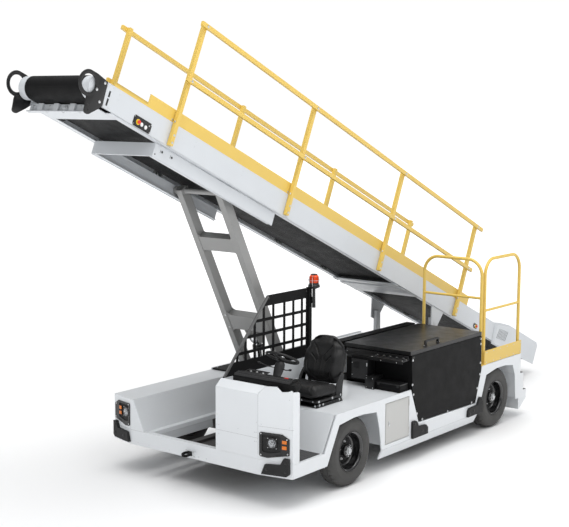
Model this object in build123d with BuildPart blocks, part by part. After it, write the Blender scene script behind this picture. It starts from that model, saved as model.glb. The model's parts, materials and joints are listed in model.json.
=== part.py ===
from build123d import *
import os
from math import sin, cos, tan, radians, degrees, atan2, hypot

os.makedirs("parts", exist_ok=True)

# ---------------------------------------------------------------- driving dimensions (millimetres)
# Stations along the machine are counted from the front axle, forward positive.
front_axle_x = 1515.34            # front axle ahead of the frame's origin
wheelbase = 2662.0
half_width = 1072.0              # body half width
skin = 12.0                      # body sheet with its folded edge
tyre_radius = 320.0
tyre_width = 190.0
wheel_face = 1068.0              # outer face of a tyre from the centre line
rim_radius = 182.0

front_face = 945.0               # front plane station
corner_station = 880.0           # where the corner facet meets the side
corner_y = 789.0                 # where the right corner facet meets the front plane
corner_left = 742.0              # the same on the driver's side
pod_inner = 262.0                # right face of the driver's front corner
bumper_low = 272.0
beam_top = 410.0
fender_top = 705.0
pod_top = 1041.0
rear_face = -3206.0

incline = 23.728                 # conveyor slope at rest, degrees
conv_ref_z = 2450.0              # height of the conveyor's lower edge above the front axle
conv_y = -261.0                  # conveyor centre line
conv_half = 418.0                # centre line to the outer face of a side plate
plate_t = 8.0
plate_h = 215.0
conv_front = 2372.0              # stations along the slope
conv_rear = -5800.0
belt_half = 330.0
roller_r = 92.0
belt_t = 8.0
post_size = 38.0
post_pitch = 1706.0
first_post = 1553.0

pivot = (-2900.0, 1000.0)        # conveyor pivot, station and height
lift_pivot = (-620.0, 400.0)     # lift frame pivot
lift_top = (532.0, 2634.0)       # lift frame top axle
cyl_pin = (-360.0, 280.0)        # lift cylinder, lower pin
cyl_eye = (-262.0, 1157.0)       # lift cylinder, rod eye
leg_w = 68.0
leg_d = 96.0
leg_near = 11.0                  # outer faces of the lift legs
leg_far = -533.0

ca, sa = cos(radians(incline)), sin(radians(incline))


# ---------------------------------------------------------------- working planes
def side(y):
    """Vertical plane along the machine: x is the station, y the height, depth runs to the right."""
    return Plane(origin=(front_axle_x, y, 0), x_dir=(1, 0, 0), z_dir=(0, -1, 0))


def level(z):
    """Horizontal plane: x is the station, y the distance left, depth runs up."""
    return Plane(origin=(front_axle_x, 0, z), x_dir=(1, 0, 0), z_dir=(0, 0, 1))


def across(x):
    """Vertical plane across the machine: x is the distance left, y the height, depth runs forward."""
    return Plane(origin=(front_axle_x + x, 0, 0), x_dir=(0, 1, 0), z_dir=(1, 0, 0))


def conv_side(y):
    """Along the conveyor: x is the station on the slope, y the height above its lower edge."""
    return Plane(origin=(front_axle_x, y, conv_ref_z), x_dir=(ca, 0, sa), z_dir=(0, -1, 0))


def conv_level(n):
    """Parallel to the belt: x is the station on the slope, y the distance left."""
    return Plane(origin=(front_axle_x - sa * n, 0, conv_ref_z + ca * n), x_dir=(ca, 0, sa), z_dir=(-sa, 0, ca))


def conv_across(s):
    """Square to the belt: x is the distance left, y the height above the lower edge."""
    return Plane(origin=(front_axle_x + ca * s, 0, conv_ref_z + sa * s), x_dir=(0, 1, 0), z_dir=(ca, 0, sa))


def on_slope(x, z):
    """Station and height on the conveyor's own axes of a point in the side view."""
    return (x * ca + (z - conv_ref_z) * sa, -x * sa + (z - conv_ref_z) * ca)


# ---------------------------------------------------------------- small builders, used inside a part
def panel(plane, points, depth, mode=Mode.ADD):
    with BuildSketch(plane) as outline:
        with BuildLine():
            Polyline(*points, close=True)
        make_face()
    extrude(outline.sketch, amount=depth, mode=mode)


def block(plane, u0, u1, v0, v1, depth, mode=Mode.ADD, corner=0.0):
    with BuildSketch(plane) as outline:
        with Locations(((u0 + u1) / 2, (v0 + v1) / 2)):
            if corner > 0:
                RectangleRounded(u1 - u0, v1 - v0, corner)
            else:
                Rectangle(u1 - u0, v1 - v0)
    extrude(outline.sketch, amount=depth, mode=mode)


def disc(plane, u, v, r, depth, mode=Mode.ADD, hole=0.0):
    with BuildSketch(plane) as outline:
        with Locations((u, v)):
            Circle(r)
            if hole > 0:
                Circle(hole, mode=Mode.SUBTRACT)
    extrude(outline.sketch, amount=depth, mode=mode)


def bar(plane, p, q, width, depth, mode=Mode.ADD):
    """Straight flat bar from p to q in a plane, width across it."""
    dx, dy = q[0] - p[0], q[1] - p[1]
    length = hypot(dx, dy)
    nx, ny = -dy / length * width / 2, dx / length * width / 2
    panel(plane, [(p[0] + nx, p[1] + ny), (q[0] + nx, q[1] + ny), (q[0] - nx, q[1] - ny), (p[0] - nx, p[1] - ny)], depth, mode)


def save(part, name):
    part.part.label = name
    export_step(part.part, "parts/" + name + ".step")


# ================================================================ CHASSIS
# ---- ladder frame: two rails and the cross members that carry the lift frame, cylinder and conveyor
rail_low, rail_high = 170.0, 270.0
rail_in, rail_out = 370.0, 450.0
with BuildPart() as main_frame:
    for y0, y1 in ((rail_in, rail_out), (-rail_out, -rail_in)):
        block(level(rail_low), -3150, 600, y0, y1, rail_high - rail_low)
        block(level(236), 600, 840, y0, y1, rail_high - 236)
    # cross members: rear station, front station, lower face, upper face
    for x0, x1, z0, z1 in ((520, 600, 170, 270), (-420, -300, 170, 225), (-700, -560, 170, 270),
                           (-1400, -1300, 170, 270), (-2300, -2200, 170, 270), (-2960, -2840, 170, 270),
                           (-3150, -3070, 170, 270)):
        block(level(z0), x0, x1, -rail_in, rail_in, z1 - z0)
    # belly plate ahead of the lift cylinder
    block(level(240), -290, 840, -rail_in, rail_in, 4)
    # outriggers under the far lift pedestal and the far conveyor post
    block(level(rail_low), -700, -560, -600, -rail_out, rail_high - rail_low)
    block(level(rail_low), -2960, -2840, -660, -rail_out, rail_high - rail_low)
    # lugs of the lift cylinder
    for y in (conv_y + 52, conv_y - 36):
        panel(side(y), [(-412, 225), (-308, 225), (-330, 312), (-390, 312)], 16)
        disc(side(y), cyl_pin[0], cyl_pin[1], 20.06, 16, mode=Mode.SUBTRACT)
    # pedestals of the lift pivot and its shaft
    for y in (leg_near + 50, leg_far - 10):
        panel(side(y), [(-700, 270), (-540, 270), (-575, 448), (-665, 448)], 40)
    disc(side(leg_near + 60), lift_pivot[0], lift_pivot[1], 30, leg_near - leg_far + 120)
save(main_frame, "main_frame")

# ---- axles: front beam with a fork for each kingpin, rear axle with its gear case, hub flanges and spindles
kingpin_y = 880.0
with BuildPart() as axles:
    block(level(278), -55, 55, -800, 800, 84)
    for sgn in (1, -1):
        block(level(236), -50, 50, min(sgn * 796, sgn * 826), max(sgn * 796, sgn * 826), 160)
        for z, t in ((236, 30), (374, 22)):
            block(level(z), -28, 28, min(sgn * 824, sgn * kingpin_y), max(sgn * 824, sgn * kingpin_y), t)
            disc(level(z), 0, sgn * kingpin_y, 28, t)
        disc(level(230), 0, sgn * kingpin_y, 16.05, 180, mode=Mode.SUBTRACT)
    for y in (rail_out, -rail_in):
        block(level(270), -50, 50, y - 80, y, 10)
    disc(side(800), -wheelbase, tyre_radius, 48, 1600)
    disc(side(120), -wheelbase, tyre_radius, 140, 240)
    panel(side(95), [(-wheelbase + 60, 280), (-wheelbase + 420, 285), (-wheelbase + 420, 480), (-wheelbase + 60, 430)], 190)
    for y in (rail_out, -rail_in):
        block(level(270), -wheelbase - 60, -wheelbase + 60, y - 80, y, 20)
    for sgn in (1, -1):
        disc(side(sgn * 812 + 8), -wheelbase, tyre_radius, 95, 16)
    disc(side(1036), -wheelbase, tyre_radius, 24.95, 2072)
save(axles, "axles")

# ---- front beam between and across both front corners, with its top ledge and the step opening's sill
with BuildPart() as front_beam:
    wrap = corner_station - 14
    plan = [(wrap, half_width), (corner_station, half_width), (front_face, corner_left), (front_face, -corner_y), (corner_station, -half_width),
            (wrap, -half_width), (wrap, -half_width + skin), (corner_station - 10, -half_width + skin), (front_face - skin, -corner_y + 2),
            (front_face - skin, corner_left - 2), (corner_station - 10, half_width - skin), (wrap, half_width - skin)]
    panel(level(bumper_low), plan, beam_top - bumper_low)
    block(level(beam_top - 10), 890, front_face - skin, -614, pod_inner - 1, 10)
    block(level(beam_top - 60), 890, 900, -614, pod_inner - 1, 60)
    for y0, y1 in ((rail_in, rail_out), (-rail_out, -rail_in)):
        block(level(280), 842, front_face - skin, y0, y1, 88)
    # tow eye's back plate
    block(across(front_face), -92, 18, 290, 350, 10)
save(front_beam, "front_beam")

# ---- driver's front corner: front panel with its slanted top, corner facet with the notch, left return, inner wall
facet_left = Plane(origin=(front_axle_x + front_face, corner_left, 0), x_dir=(corner_station - front_face, half_width - corner_left, 0), z_dir=(half_width - corner_left, front_face - corner_station, 0))
facet_right = Plane(origin=(front_axle_x + front_face, -corner_y, 0), x_dir=(corner_station - front_face, -(half_width - corner_y), 0), z_dir=(-(half_width - corner_y), front_face - corner_station, 0))
facet_w = hypot(corner_station - front_face, half_width - corner_left)
facet_right_w = hypot(corner_station - front_face, half_width - corner_y)
with BuildPart() as driver_pod:
    panel(across(front_face - skin), [(pod_inner, beam_top), (corner_left, beam_top), (corner_left, 980), (pod_inner, 980)], skin)
    panel(facet_left, [(0, beam_top), (facet_w, beam_top), (facet_w, 1027), (facet_w * 0.955, 1040), (facet_w * 0.845, 1026), (facet_w * 0.678, 1020), (facet_w * 0.537, 1060), (facet_w * 0.22, 1054), (0, 978)], -skin)
    panel(side(half_width), [(785, 398), (wrap, 398), (wrap, beam_top), (corner_station, beam_top), (corner_station, 1027), (800, 1018), (785, 1004)], skin)
    panel(side(corner_left), [(front_face, 980), (870, pod_top), (862, pod_top - 8), (front_face - 10, 970)], corner_left - pod_inner)
    panel(side(802), [(926, 996), (870, pod_top), (862, pod_top - 8), (918, 988)], 802 - corner_left)
    panel(side(pod_inner + skin), [(front_face - skin, beam_top), (front_face - skin, 972), (866, 1030), (-380, 1030), (-380, 398), (850, 398), (850, beam_top)], skin)
save(driver_pod, "driver_pod")

# ---- driver's place: step floor with its sill, sloped seat riser, fender top under the seat
with BuildPart() as driver_floor:
    panel(level(372), [(424, 276), (front_face - skin - 2, 276), (front_face - skin - 2, 728), (862, 1046), (424, 1046)], 18)
    panel(side(1046), [(424, 390), (414, 378), (236, 690), (250, 705)], 1046 - 276)
    block(level(693), -950, 236, 276, 1046, 12)
    block(level(693), 236, 243, 276, 1046, 9)
save(driver_floor, "driver_floor")

# ---- left side skin, one folded sheet with both wheel arches
left_outline = [(wrap, bumper_low), (384, 275), (206, 609), (-14, 634), (-175, 633), (-383, 611), (-433, 453), (-468, 245),
                (-472, 222), (-2281, 222), (-2439, 607), (-2658, 644), (-2850, 642), (-3025, 616), (-3079, 501),
                (-3107, 219), (rear_face, 222), (rear_face, 718), (-2345, 718), (-2217, 344), (-1112, 368), (-968, 715), (240, 715), (252, 705),
                (424, 397), (wrap, 397)]
with BuildPart() as left_side:
    panel(side(half_width), left_outline, skin)
    # door opening of the locker
    block(side(half_width), -940, -527, 267, 662, skin, mode=Mode.SUBTRACT)
    # folded sill strip between the wheels
    panel(across(-2262), [(half_width - 54, 138), (half_width - 43, 132), (half_width, 222), (half_width - 12, 230)], 1790)
    # the locker behind it: five walls
    block(side(half_width - skin), -946, -521, 261, 668, 250)
    block(side(half_width - skin), -940, -527, 267, 662, 244, mode=Mode.SUBTRACT)
save(left_side, "left_side")

right_outline = [(wrap, bumper_low), (384, 275), (206, 609), (-14, 634), (-175, 633), (-383, 611), (-433, 453), (-468, 245),
                 (-472, 222), (-2281, 222), (-2439, 607), (-2658, 644), (-2850, 642), (-3025, 616), (-3079, 501),
                 (-3107, 219), (rear_face, 222), (rear_face, 718), (-500, 718), (-500, 700), (wrap, 700)]
# right side skin, and the right front corner box: front panel, corner, flat top, sloped inner wall, ledge and lip
with BuildPart() as right_body:
    panel(side(-half_width + skin), right_outline, skin)
    panel(across(-2262), [(-half_width + 54, 138), (-half_width + 43, 132), (-half_width, 222), (-half_width + 12, 230)], 1790)
    panel(across(front_face - skin), [(-corner_y, beam_top), (-622, beam_top), (-758, 700), (-corner_y, 700)], skin)
    panel(level(beam_top), [(front_face, -corner_y), (corner_station, -half_width), (wrap, -half_width), (wrap, -half_width + skin),
                            (corner_station - 10, -half_width + skin), (front_face - skin, -corner_y)], 700 - beam_top)
    panel(level(690), [(front_face - skin, -corner_y), (corner_station - 10, -half_width + skin), (-500, -half_width + skin), (-500, -763), (front_face - skin, -763)], 10)
    panel(across(-500), [(-770, 700), (-758, 700), (-622, beam_top), (-634, beam_top)], front_face - skin + 500)
    block(level(beam_top - 10), -500, 888, -634, -564, 10)
    panel(across(-500), [(-574, beam_top), (-564, beam_top), (-552, 372), (-562, 372)], 1388)
    # the channel's wall reaches lower ahead of the axle beam and behind it
    for x0, x1 in ((-500, -70), (70, 888)):
        panel(across(x0), [(-566, 384), (-556, 384), (-543, 300), (-553, 300)], x1 - x0)
save(right_body, "right_body")

# ---- inner wheel arches: a roof and an inner cheek for each wheel
# columns: name part, side sign, arch points over the wheel
front_arch = [(404, 262), (404, 368), (226, 682), (-200, 684), (-420, 640), (-500, 455), (-512, 262)]
rear_arch = [(-2274, 236), (-2322, 430), (-2425, 612), (-2652, 655), (-2850, 655), (-3034, 628), (-3090, 503), (-3116, 235)]
# columns: side sign, arch line, inner edge of its roof, station and half width of the slot that the axle passes through
# (no slot: the corner box's own sloped wall closes that arch)
arch_table = ((1, front_arch, 640.0, 0.0, 80.0), (-1, front_arch, 780.0, 0.0, 0.0),
              (1, rear_arch, 780.0, -wheelbase, 110.0), (-1, rear_arch, 780.0, -wheelbase, 110.0))
with BuildPart() as wheel_arches:
    for sgn, arch, y_in, x_axle, slot in arch_table:
        y_out = half_width - skin - 1
        start = y_out if sgn > 0 else -y_in
        roof = [(x_axle + (x - x_axle) * 1.014, z + 6 if z > 300 else z) for x, z in arch]
        panel(side(start), arch + roof[::-1], y_out - y_in)
        if slot > 0:
            cheek = arch[::-1] + [(x_axle + slot, 262), (x_axle + slot, 450), (x_axle - slot, 450), (x_axle - slot, 262)]
            panel(side(sgn * y_in + 2.5), cheek, 5)
save(wheel_arches, "wheel_arches")

# ---- black battery box: side panel, end walls, inner wall, floor; the pack is one plain block
battery_panel = [(-975, 1045), (-990, 720), (-1112, 377), (-2217, 352), (-2326, 670), (-2321, 1045)]
with BuildPart() as battery_box:
    panel(side(half_width), battery_panel, 14)
    block(level(372), -2300, -1080, 316, 1056, 10)
    block(across(-992), 316, 1056, 716, 1045, 12)
    block(across(-1085), 316, 1056, 382, 700, 12)
    block(across(-2312), 316, 1056, 728, 1045, 12)
    block(across(-2300), 316, 1056, 382, 700, 12)
    block(side(318), -2312, -980, 372, 1045, 14)
    # fixed black top beside the lid
    block(level(1022), -2312, -980, 150, 318, 22)
    block(level(1022), -2318, -952, 150, 254, 65)
save(battery_box, "battery_box")

with BuildPart() as battery_pack:
    block(level(384), -2180, -1150, 330, 1000, 560)
save(battery_pack, "battery_pack")

with BuildPart() as battery_lid:
    block(level(1050), -2318, -952, 300, 1072, 37)
    block(level(1054), -2306, -964, 312, 1060, 24, mode=Mode.SUBTRACT)
    block(level(1050), -2300, -970, 318, 1054, 6, mode=Mode.SUBTRACT)
    # grab handle, bent from flat bar
    for x in (-1310, -1540):
        block(level(1087), x - 8, x + 8, 1000, 1024, 38)
    block(level(1125), -1548, -1302, 1000, 1024, 12)
save(battery_lid, "battery_lid")

with BuildPart() as locker_door:
    block(side(half_width + 1), -935, -532, 272, 657, 14, corner=4)
save(locker_door, "locker_door")

# ---- console between seat and battery box: tray with knobs, black equipment box
with BuildPart() as console:
    block(level(998), -950, -846, 330, 1050, 12)
    block(level(1008), -950, -940, 330, 1050, 34)
    for i in range(5):
        disc(level(1008), -886, 735 + i * 74, 18, 26)
    block(level(775), -948, -820, 470, 665, 226)
    block(level(706), -948, -780, 665, 765, 120)
    block(level(706), -948, -810, 740, 1046, 80)
save(console, "console")

# ---- black deck on the right, white rear deck, rear panel and bumper
with BuildPart() as deck:
    block(level(702), -2560, -504, -half_width + skin + 1, -600, 14)
    block(level(672), -2560, -2548, -half_width + skin + 1, -600, 30)
    block(level(450), -1420, -800, -540, 300, 8)
    block(level(450), -2200, -1424, -540, 300, 8)
    block(level(702), -3192, -2330, 200, half_width - skin - 1, 16)
save(deck, "deck")

with BuildPart() as rear_body:
    block(level(690), rear_face + skin, -2562, -half_width + skin + 1, -700, 12)
    block(across(rear_face), -half_width + skin, half_width - skin, 222, 690, skin)
    block(across(rear_face - 110), -1054, 1054, 300, 486, 108)
    panel(side(1054), [(rear_face - 2, 300), (rear_face - 108, 300), (rear_face - 108, 286), (rear_face - 180, 286), (rear_face - 180, 190), (rear_face - 20, 86), (rear_face - 2, 86)], 2108)
save(rear_body, "rear_body")

# ---- towing points: rear hitch jaw with its pin bore, front eye
hitch_r = 15.0
with BuildPart() as towing_points:
    block(across(rear_face - 150), -60, 60, 320, 480, 38)
    block(level(340), rear_face - 260, rear_face - 150, -50, 50, 25)
    block(level(435), rear_face - 260, rear_face - 150, -50, 50, 25)
    disc(level(330), rear_face - 215, 0, hitch_r, 140, mode=Mode.SUBTRACT)
    with BuildSketch(Plane(origin=(front_axle_x + front_face + 57, -37, 314), x_dir=(0, 1, 0), z_dir=(0.2, 0, 0.98))) as ring_path:
        Circle(44)
        Circle(26, mode=Mode.SUBTRACT)
    extrude(ring_path.sketch, amount=18)
    block(across(front_face + 10), -61, -13, 300, 340, 10)
save(towing_points, "towing_points")

# ---- yellow kick plates and the two guard rail loops of the rear deck
tube_r = 17.0
rail_top = 1830.0
with BuildPart() as rear_guard_rails:
    block(side(half_width - 1), -3204, -2392, 724, 864, 8)
    with BuildLine() as side_loop:
        FilletPolyline((front_axle_x - 2415, 1042, 719), (front_axle_x - 2415, 1042, rail_top), (front_axle_x - 3171, 1042, rail_top), (front_axle_x - 3171, 1042, 719), radius=170)
    with BuildSketch(side_loop.line ^ 0):
        Circle(tube_r)
    sweep(path=side_loop.line)
    disc(across(-3171), 1042, 1290, 13, 756)
    with BuildLine() as cross_loop:
        FilletPolyline((front_axle_x - 2350, 345, 719), (front_axle_x - 2350, 345, rail_top), (front_axle_x - 2350, 1042, rail_top), (front_axle_x - 2350, 1042, 719), radius=170)
    with BuildSketch(cross_loop.line ^ 0):
        Circle(tube_r)
    sweep(path=cross_loop.line)
    disc(side(1042), -2350, 1430, 13, 697)
save(rear_guard_rails, "rear_guard_rails")

# ---- conveyor support: two posts with the pivot pins
with BuildPart() as conveyor_support:
    for y in (conv_y + 390, conv_y - 350):
        panel(side(y), [(-2945, 270), (-2855, 270), (-2862, 1055), (-2938, 1055)], 40)
    block(level(480), -2940, -2860, conv_y - 360, conv_y + 360, 80)
    for y in (conv_y + 414, conv_y - 354):
        disc(side(y), pivot[0], pivot[1], 25, 60)
save(conveyor_support, "conveyor_support")

# ---- driver's seat on its suspension
with BuildPart() as seat_suspension:
    block(level(706), -237, 163, 310, 790, 18)
    block(level(724), -215, 140, 330, 770, 32)
    block(level(756), -232, 150, 315, 785, 18)
save(seat_suspension, "seat_suspension")

with BuildPart() as seat_cushion:
    panel(side(806), [(194, 812), (174, 776), (-232, 776), (-246, 872), (154, 902), (189, 888)], 512)
    fillet(seat_cushion.edges().filter_by(Axis.Y), 14)
save(seat_cushion, "seat_cushion")

with BuildPart() as seat_back:
    panel(side(782), [(-195, 880), (-155, 998), (-285, 1310), (-365, 1326), (-385, 1278), (-320, 880)], 464)
    fillet(seat_back.edges().filter_by(Axis.Y), 16)
save(seat_back, "seat_back")

# ---- steering column and wheel
wheel_centre = (365.0, 550.0, 1175.0)
wheel_tilt = 28.0
column = Plane(origin=(front_axle_x + wheel_centre[0], wheel_centre[1], wheel_centre[2]), x_dir=(0, 1, 0), z_dir=(-sin(radians(wheel_tilt)), 0, cos(radians(wheel_tilt))))
with BuildPart() as steering:
    disc(column.offset(-330), 0, 0, 34, 300)
    block(level(391), 450, 620, 480, 620, 500)
    with BuildSketch(Plane(origin=column.origin, x_dir=column.x_dir, z_dir=column.y_dir)) as rim_section:
        with Locations((150, 0)):
            Circle(10.5)
    revolve(rim_section.sketch, axis=Axis(column.origin, column.z_dir))
    disc(column.offset(-30), 0, 0, 36, 40)
    for angle in (30, 150, 270):
        spoke = Plane(origin=column.origin, x_dir=column.x_dir * cos(radians(angle)) + column.y_dir * sin(radians(angle)), z_dir=column.z_dir)
        block(spoke.offset(-10), 30, 144, -11, 11, 10)
save(steering, "steering")

# ---- black dash cowl along the driver's front panel
with BuildPart() as dash_cowl:
    panel(side(1040), [(854, 985), (854, 1075), (835, 1100), (720, 1120), (690, 1100), (690, 1050), (760, 985)], 1040 - 380)
save(dash_cowl, "dash_cowl")

# ---- mesh guard between driver and conveyor: one flat cut plate
guard_y = 256.0
grid_z = (1140.0, 1210.0, 1346.0, 1475.0, 1597.0)
grid_x = (-372.0, -308.0, -175.0, -38.0, 126.0, 265.0, 395.0, 524.0, 640.0)
bar_w = 27.0
slope_top, slope_low = (219.0, 1694.0), (831.0, 1039.0)


def edge_x(z):
    return slope_top[0] + (slope_low[0] - slope_top[0]) * (slope_top[1] - z) / (slope_top[1] - slope_low[1])


with BuildPart() as mesh_guard:
    with BuildSketch(side(guard_y)) as plate:
        with BuildLine():
            Polyline((-400, 706), (262, 706), (442, 391), (831, 391), slope_low, slope_top, (-400, 1694), close=True)
        make_face()
        # windows between neighbouring bars, cut short by the sloped edge
        for i in range(len(grid_z) - 1):
            z0, z1 = grid_z[i] + bar_w / 2, grid_z[i + 1] - bar_w / 2
            if i == 0:
                z0 = grid_z[0]
            if i == len(grid_z) - 2:
                z1 = grid_z[-1]
            for j in range(len(grid_x)):
                x0 = grid_x[j] + (bar_w / 2 if j else 0)
                x1 = grid_x[j + 1] - bar_w / 2 if j + 1 < len(grid_x) else 2000.0
                lim0, lim1 = edge_x(z0) - 34, edge_x(z1) - 34
                if x0 > lim0 - 12:
                    continue
                corners = [(x0, z0), (min(x1, lim0), z0)]
                if x1 > lim0:
                    corners = [(x0, z0), (lim0, z0)]
                if x1 <= lim1:
                    corners = [(x0, z0), (x1, z0), (x1, z1), (x0, z1)]
                elif lim1 <= x0:
                    zt = z0 + (z1 - z0) * (lim0 - x0) / (lim0 - lim1)
                    if x1 < lim0:
                        zr = z0 + (z1 - z0) * (lim0 - x1) / (lim0 - lim1)
                        corners = [(x0, z0), (x1, z0), (x1, zr), (x0, zt)]
                    else:
                        corners = [(x0, z0), (lim0, z0), (x0, zt)]
                else:
                    if x1 < lim0:
                        zr = z0 + (z1 - z0) * (lim0 - x1) / (lim0 - lim1)
                        corners = [(x0, z0), (x1, z0), (x1, zr), (lim1, z1), (x0, z1)]
                    else:
                        corners = [(x0, z0), (lim0, z0), (lim1, z1), (x0, z1)]
                with BuildLine():
                    Polyline(*corners, close=True)
                make_face(mode=Mode.SUBTRACT)
    extrude(plate.sketch, amount=8)
    block(level(706), -442, -394, 234, 272, 988, corner=5)
save(mesh_guard, "mesh_guard")

with BuildPart() as beacon:
    disc(level(1694), -446, 290, 58, 30)
    disc(level(1724), -446, 290, 42, 98)
    disc(level(1500), -446, 290, 17, 194)
    block(level(1540), -458, -443, 256, 284, 60)
save(beacon, "beacon")

# ---- headlamp housings and rubber corner guards, laid on the front plane
with BuildPart() as headlamps:
    for sgn, facet in ((1, facet_left), (-1, facet_right)):
        k = facet_w / facet_right_w if sgn > 0 else 1.0
        panel(facet, [(u * k, v) for u, v in ((16, 654), (207, 654), (266, 618), (266, 478), (84, 434), (16, 446))], sgn * 10)
save(headlamps, "headlamps")

with BuildPart() as corner_guards:
    for sgn, facet in ((1, facet_left), (-1, facet_right)):
        k = facet_w / facet_right_w if sgn > 0 else 1.0
        inset = 34 if sgn > 0 else 0
        panel(facet, [(u * k, v) for u, v in ((6 + inset, 292), (36 + inset, 380), (196, 390), (226, 452), (270, 450), (272, 318), (250, 296))], sgn * 30)
    # two guards on each side, behind the locker and ahead of the rear wheel
    for y in (half_width + 24, -half_width):
        panel(side(y), [(-978, 232), (-978, 390), (-990, 402), (-1040, 400), (-1068, 376), (-1084, 334), (-1222, 326), (-1254, 296), (-1254, 232)], 24)
        panel(side(y), [(-2036, 232), (-2044, 296), (-2068, 320), (-2230, 326), (-2266, 384), (-2282, 398), (-2312, 396), (-2336, 372), (-2336, 232)], 24)
save(corner_guards, "corner_guards")

# ================================================================ STEERED AND DRIVEN WHEELS
for name, sgn in (("left", 1), ("right", -1)):
    with BuildPart() as knuckle:
        disc(level(216), 0, sgn * kingpin_y, 16, 184)
        disc(level(271), 0, sgn * kingpin_y, 26, 98)
        block(level(276), -26, 26, min(sgn * kingpin_y, sgn * 906), max(sgn * kingpin_y, sgn * 906), 88)
        disc(side(max(sgn * 904, sgn * 913)), 0, tyre_radius, 46, 9)
        disc(side(max(sgn * 910, sgn * 1036)), 0, tyre_radius, 24.95, 126)
        # steering arm under the fork
        disc(level(216), 0, sgn * kingpin_y, 26, 13)
        bar(level(216), (0, sgn * kingpin_y), (-150, sgn * (kingpin_y - 95)), 26, 13)
        disc(level(216), -150, sgn * (kingpin_y - 95), 17, 13)
    save(knuckle, "knuckle_" + name)

# columns: name, station, side sign
wheel_table = (("front_left", 0.0, 1), ("front_right", 0.0, -1), ("rear_left", -wheelbase, 1), ("rear_right", -wheelbase, -1))
for name, station, sgn in wheel_table:
    hub_plane = Plane(origin=(front_axle_x + station, sgn * wheel_face, tyre_radius), x_dir=(1, 0, 0), z_dir=(0, -sgn, 0))
    spin = Axis(hub_plane.origin, hub_plane.z_dir)
    # half section drawn in the plane through the axle: first value is the radius, second the depth from the outer face
    section = Plane(origin=hub_plane.origin, x_dir=(1, 0, 0), z_dir=(0, 0, -sgn))
    with BuildPart() as tyre:
        with BuildSketch(section) as profile:
            with BuildLine():
                Polyline((rim_radius, 22), (214, 4), (262, 0), (300, 14), (tyre_radius, 40), (tyre_radius, tyre_width - 40), (300, tyre_width - 14),
                         (262, tyre_width), (214, tyre_width - 4), (rim_radius, tyre_width - 22), close=True)
            make_face()
        revolve(profile.sketch, axis=spin)
    save(tyre, "tyre_" + name)
    with BuildPart() as rim:
        with BuildSketch(section) as profile:
            with BuildLine():
                Polyline((25, 92), (25, 30), (62, 30), (62, 92), (108, 106), (146, 104), (156, 60), (158, 20), (rim_radius - 1, 10), (rim_radius - 1, 22),
                         (rim_radius - 8, 34), (168, 44), (166, tyre_width - 44), (rim_radius - 8, tyre_width - 34), (rim_radius - 1, tyre_width - 22), (rim_radius - 1, tyre_width - 12),
                         (160, tyre_width - 24), (152, 118), (108, 116), (56, 112), (56, 118), (25, 118), close=True)
            make_face()
        revolve(profile.sketch, axis=spin)
    save(rim, "rim_" + name)

# ================================================================ LIFT FRAME AND CYLINDER
lift_angle = atan2(lift_top[1] - lift_pivot[1], lift_top[0] - lift_pivot[0])
lift_len = hypot(lift_top[1] - lift_pivot[1], lift_top[0] - lift_pivot[0])
lc, ls = cos(lift_angle), sin(lift_angle)


def lift_side(y):
    """Along the lift frame from its pivot: x runs up the legs, y square to them, depth to the right."""
    return Plane(origin=(front_axle_x + lift_pivot[0], y, lift_pivot[1]), x_dir=(lc, 0, ls), z_dir=(0, -1, 0))


with BuildPart() as lift_legs:
    for y in (leg_near, leg_far + leg_w):
        block(lift_side(y), -52, lift_len + 30, -leg_d / 2, leg_d / 2, leg_w)
        disc(lift_side(y), lift_len, 0, 24.05, leg_w, mode=Mode.SUBTRACT)
        disc(lift_side(y), 0, 0, 30.06, leg_w, mode=Mode.SUBTRACT)
save(lift_legs, "lift_legs")

inner_gap = (leg_near - leg_w) - (leg_far + leg_w)
track_near, track_far = 112.0, -586.0     # inner faces of the slide track
with BuildPart() as lift_crossbars:
    # two box cross bars: lower and upper edge along the legs
    for u0, u1 in ((985, 1150), (1897, 2044)):
        block(lift_side(leg_near - leg_w), u0, u1, -leg_d / 2 + 4, leg_d / 2 - 4, inner_gap)
    # clevis for the rod eye, hung under the lower bar
    eu = (cyl_eye[0] - lift_pivot[0]) * lc + (cyl_eye[1] - lift_pivot[1]) * ls
    ev = -(cyl_eye[0] - lift_pivot[0]) * ls + (cyl_eye[1] - lift_pivot[1]) * lc
    for y in (conv_y + 58, conv_y - 40):
        panel(lift_side(y), [(990, -40), (990, 44), (eu - 20, ev + 34), (eu - 42, ev), (eu - 20, ev - 34)], 18)
    # top axle with its two rollers
    disc(lift_side(track_near - 6), lift_len, 0, 24, track_near - track_far - 12)
    for y0, w in ((track_near - 8, 34), (track_far + 42, 34)):
        disc(lift_side(y0), lift_len, 0, 40, w)
save(lift_crossbars, "lift_crossbars")

cyl_ang = atan2(cyl_eye[1] - cyl_pin[1], cyl_eye[0] - cyl_pin[0])
cyl_len = hypot(cyl_eye[1] - cyl_pin[1], cyl_eye[0] - cyl_pin[0])
barrel_len = 520.0
cyl_axis = Plane(origin=(front_axle_x + cyl_pin[0], conv_y, cyl_pin[1]), x_dir=(0, 1, 0), z_dir=(cos(cyl_ang), 0, sin(cyl_ang)))
with BuildPart() as lift_barrel:
    disc(cyl_axis.offset(58), 0, 0, 52, barrel_len - 58)
    disc(cyl_axis, 0, 0, 30, 60)
    disc(cyl_axis.offset(80), 0, 0, 36.5, barrel_len, mode=Mode.SUBTRACT)
    disc(side(conv_y + 30), cyl_pin[0], cyl_pin[1], 46, 60)
    disc(side(conv_y + 52), cyl_pin[0], cyl_pin[1], 20, 104)
save(lift_barrel, "lift_barrel")

with BuildPart() as lift_rod:
    disc(cyl_axis.offset(barrel_len - 200), 0, 0, 36, cyl_len - 45 - barrel_len + 200)
    disc(side(conv_y + 30), cyl_eye[0], cyl_eye[1], 50, 60)
save(lift_rod, "lift_rod")

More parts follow.
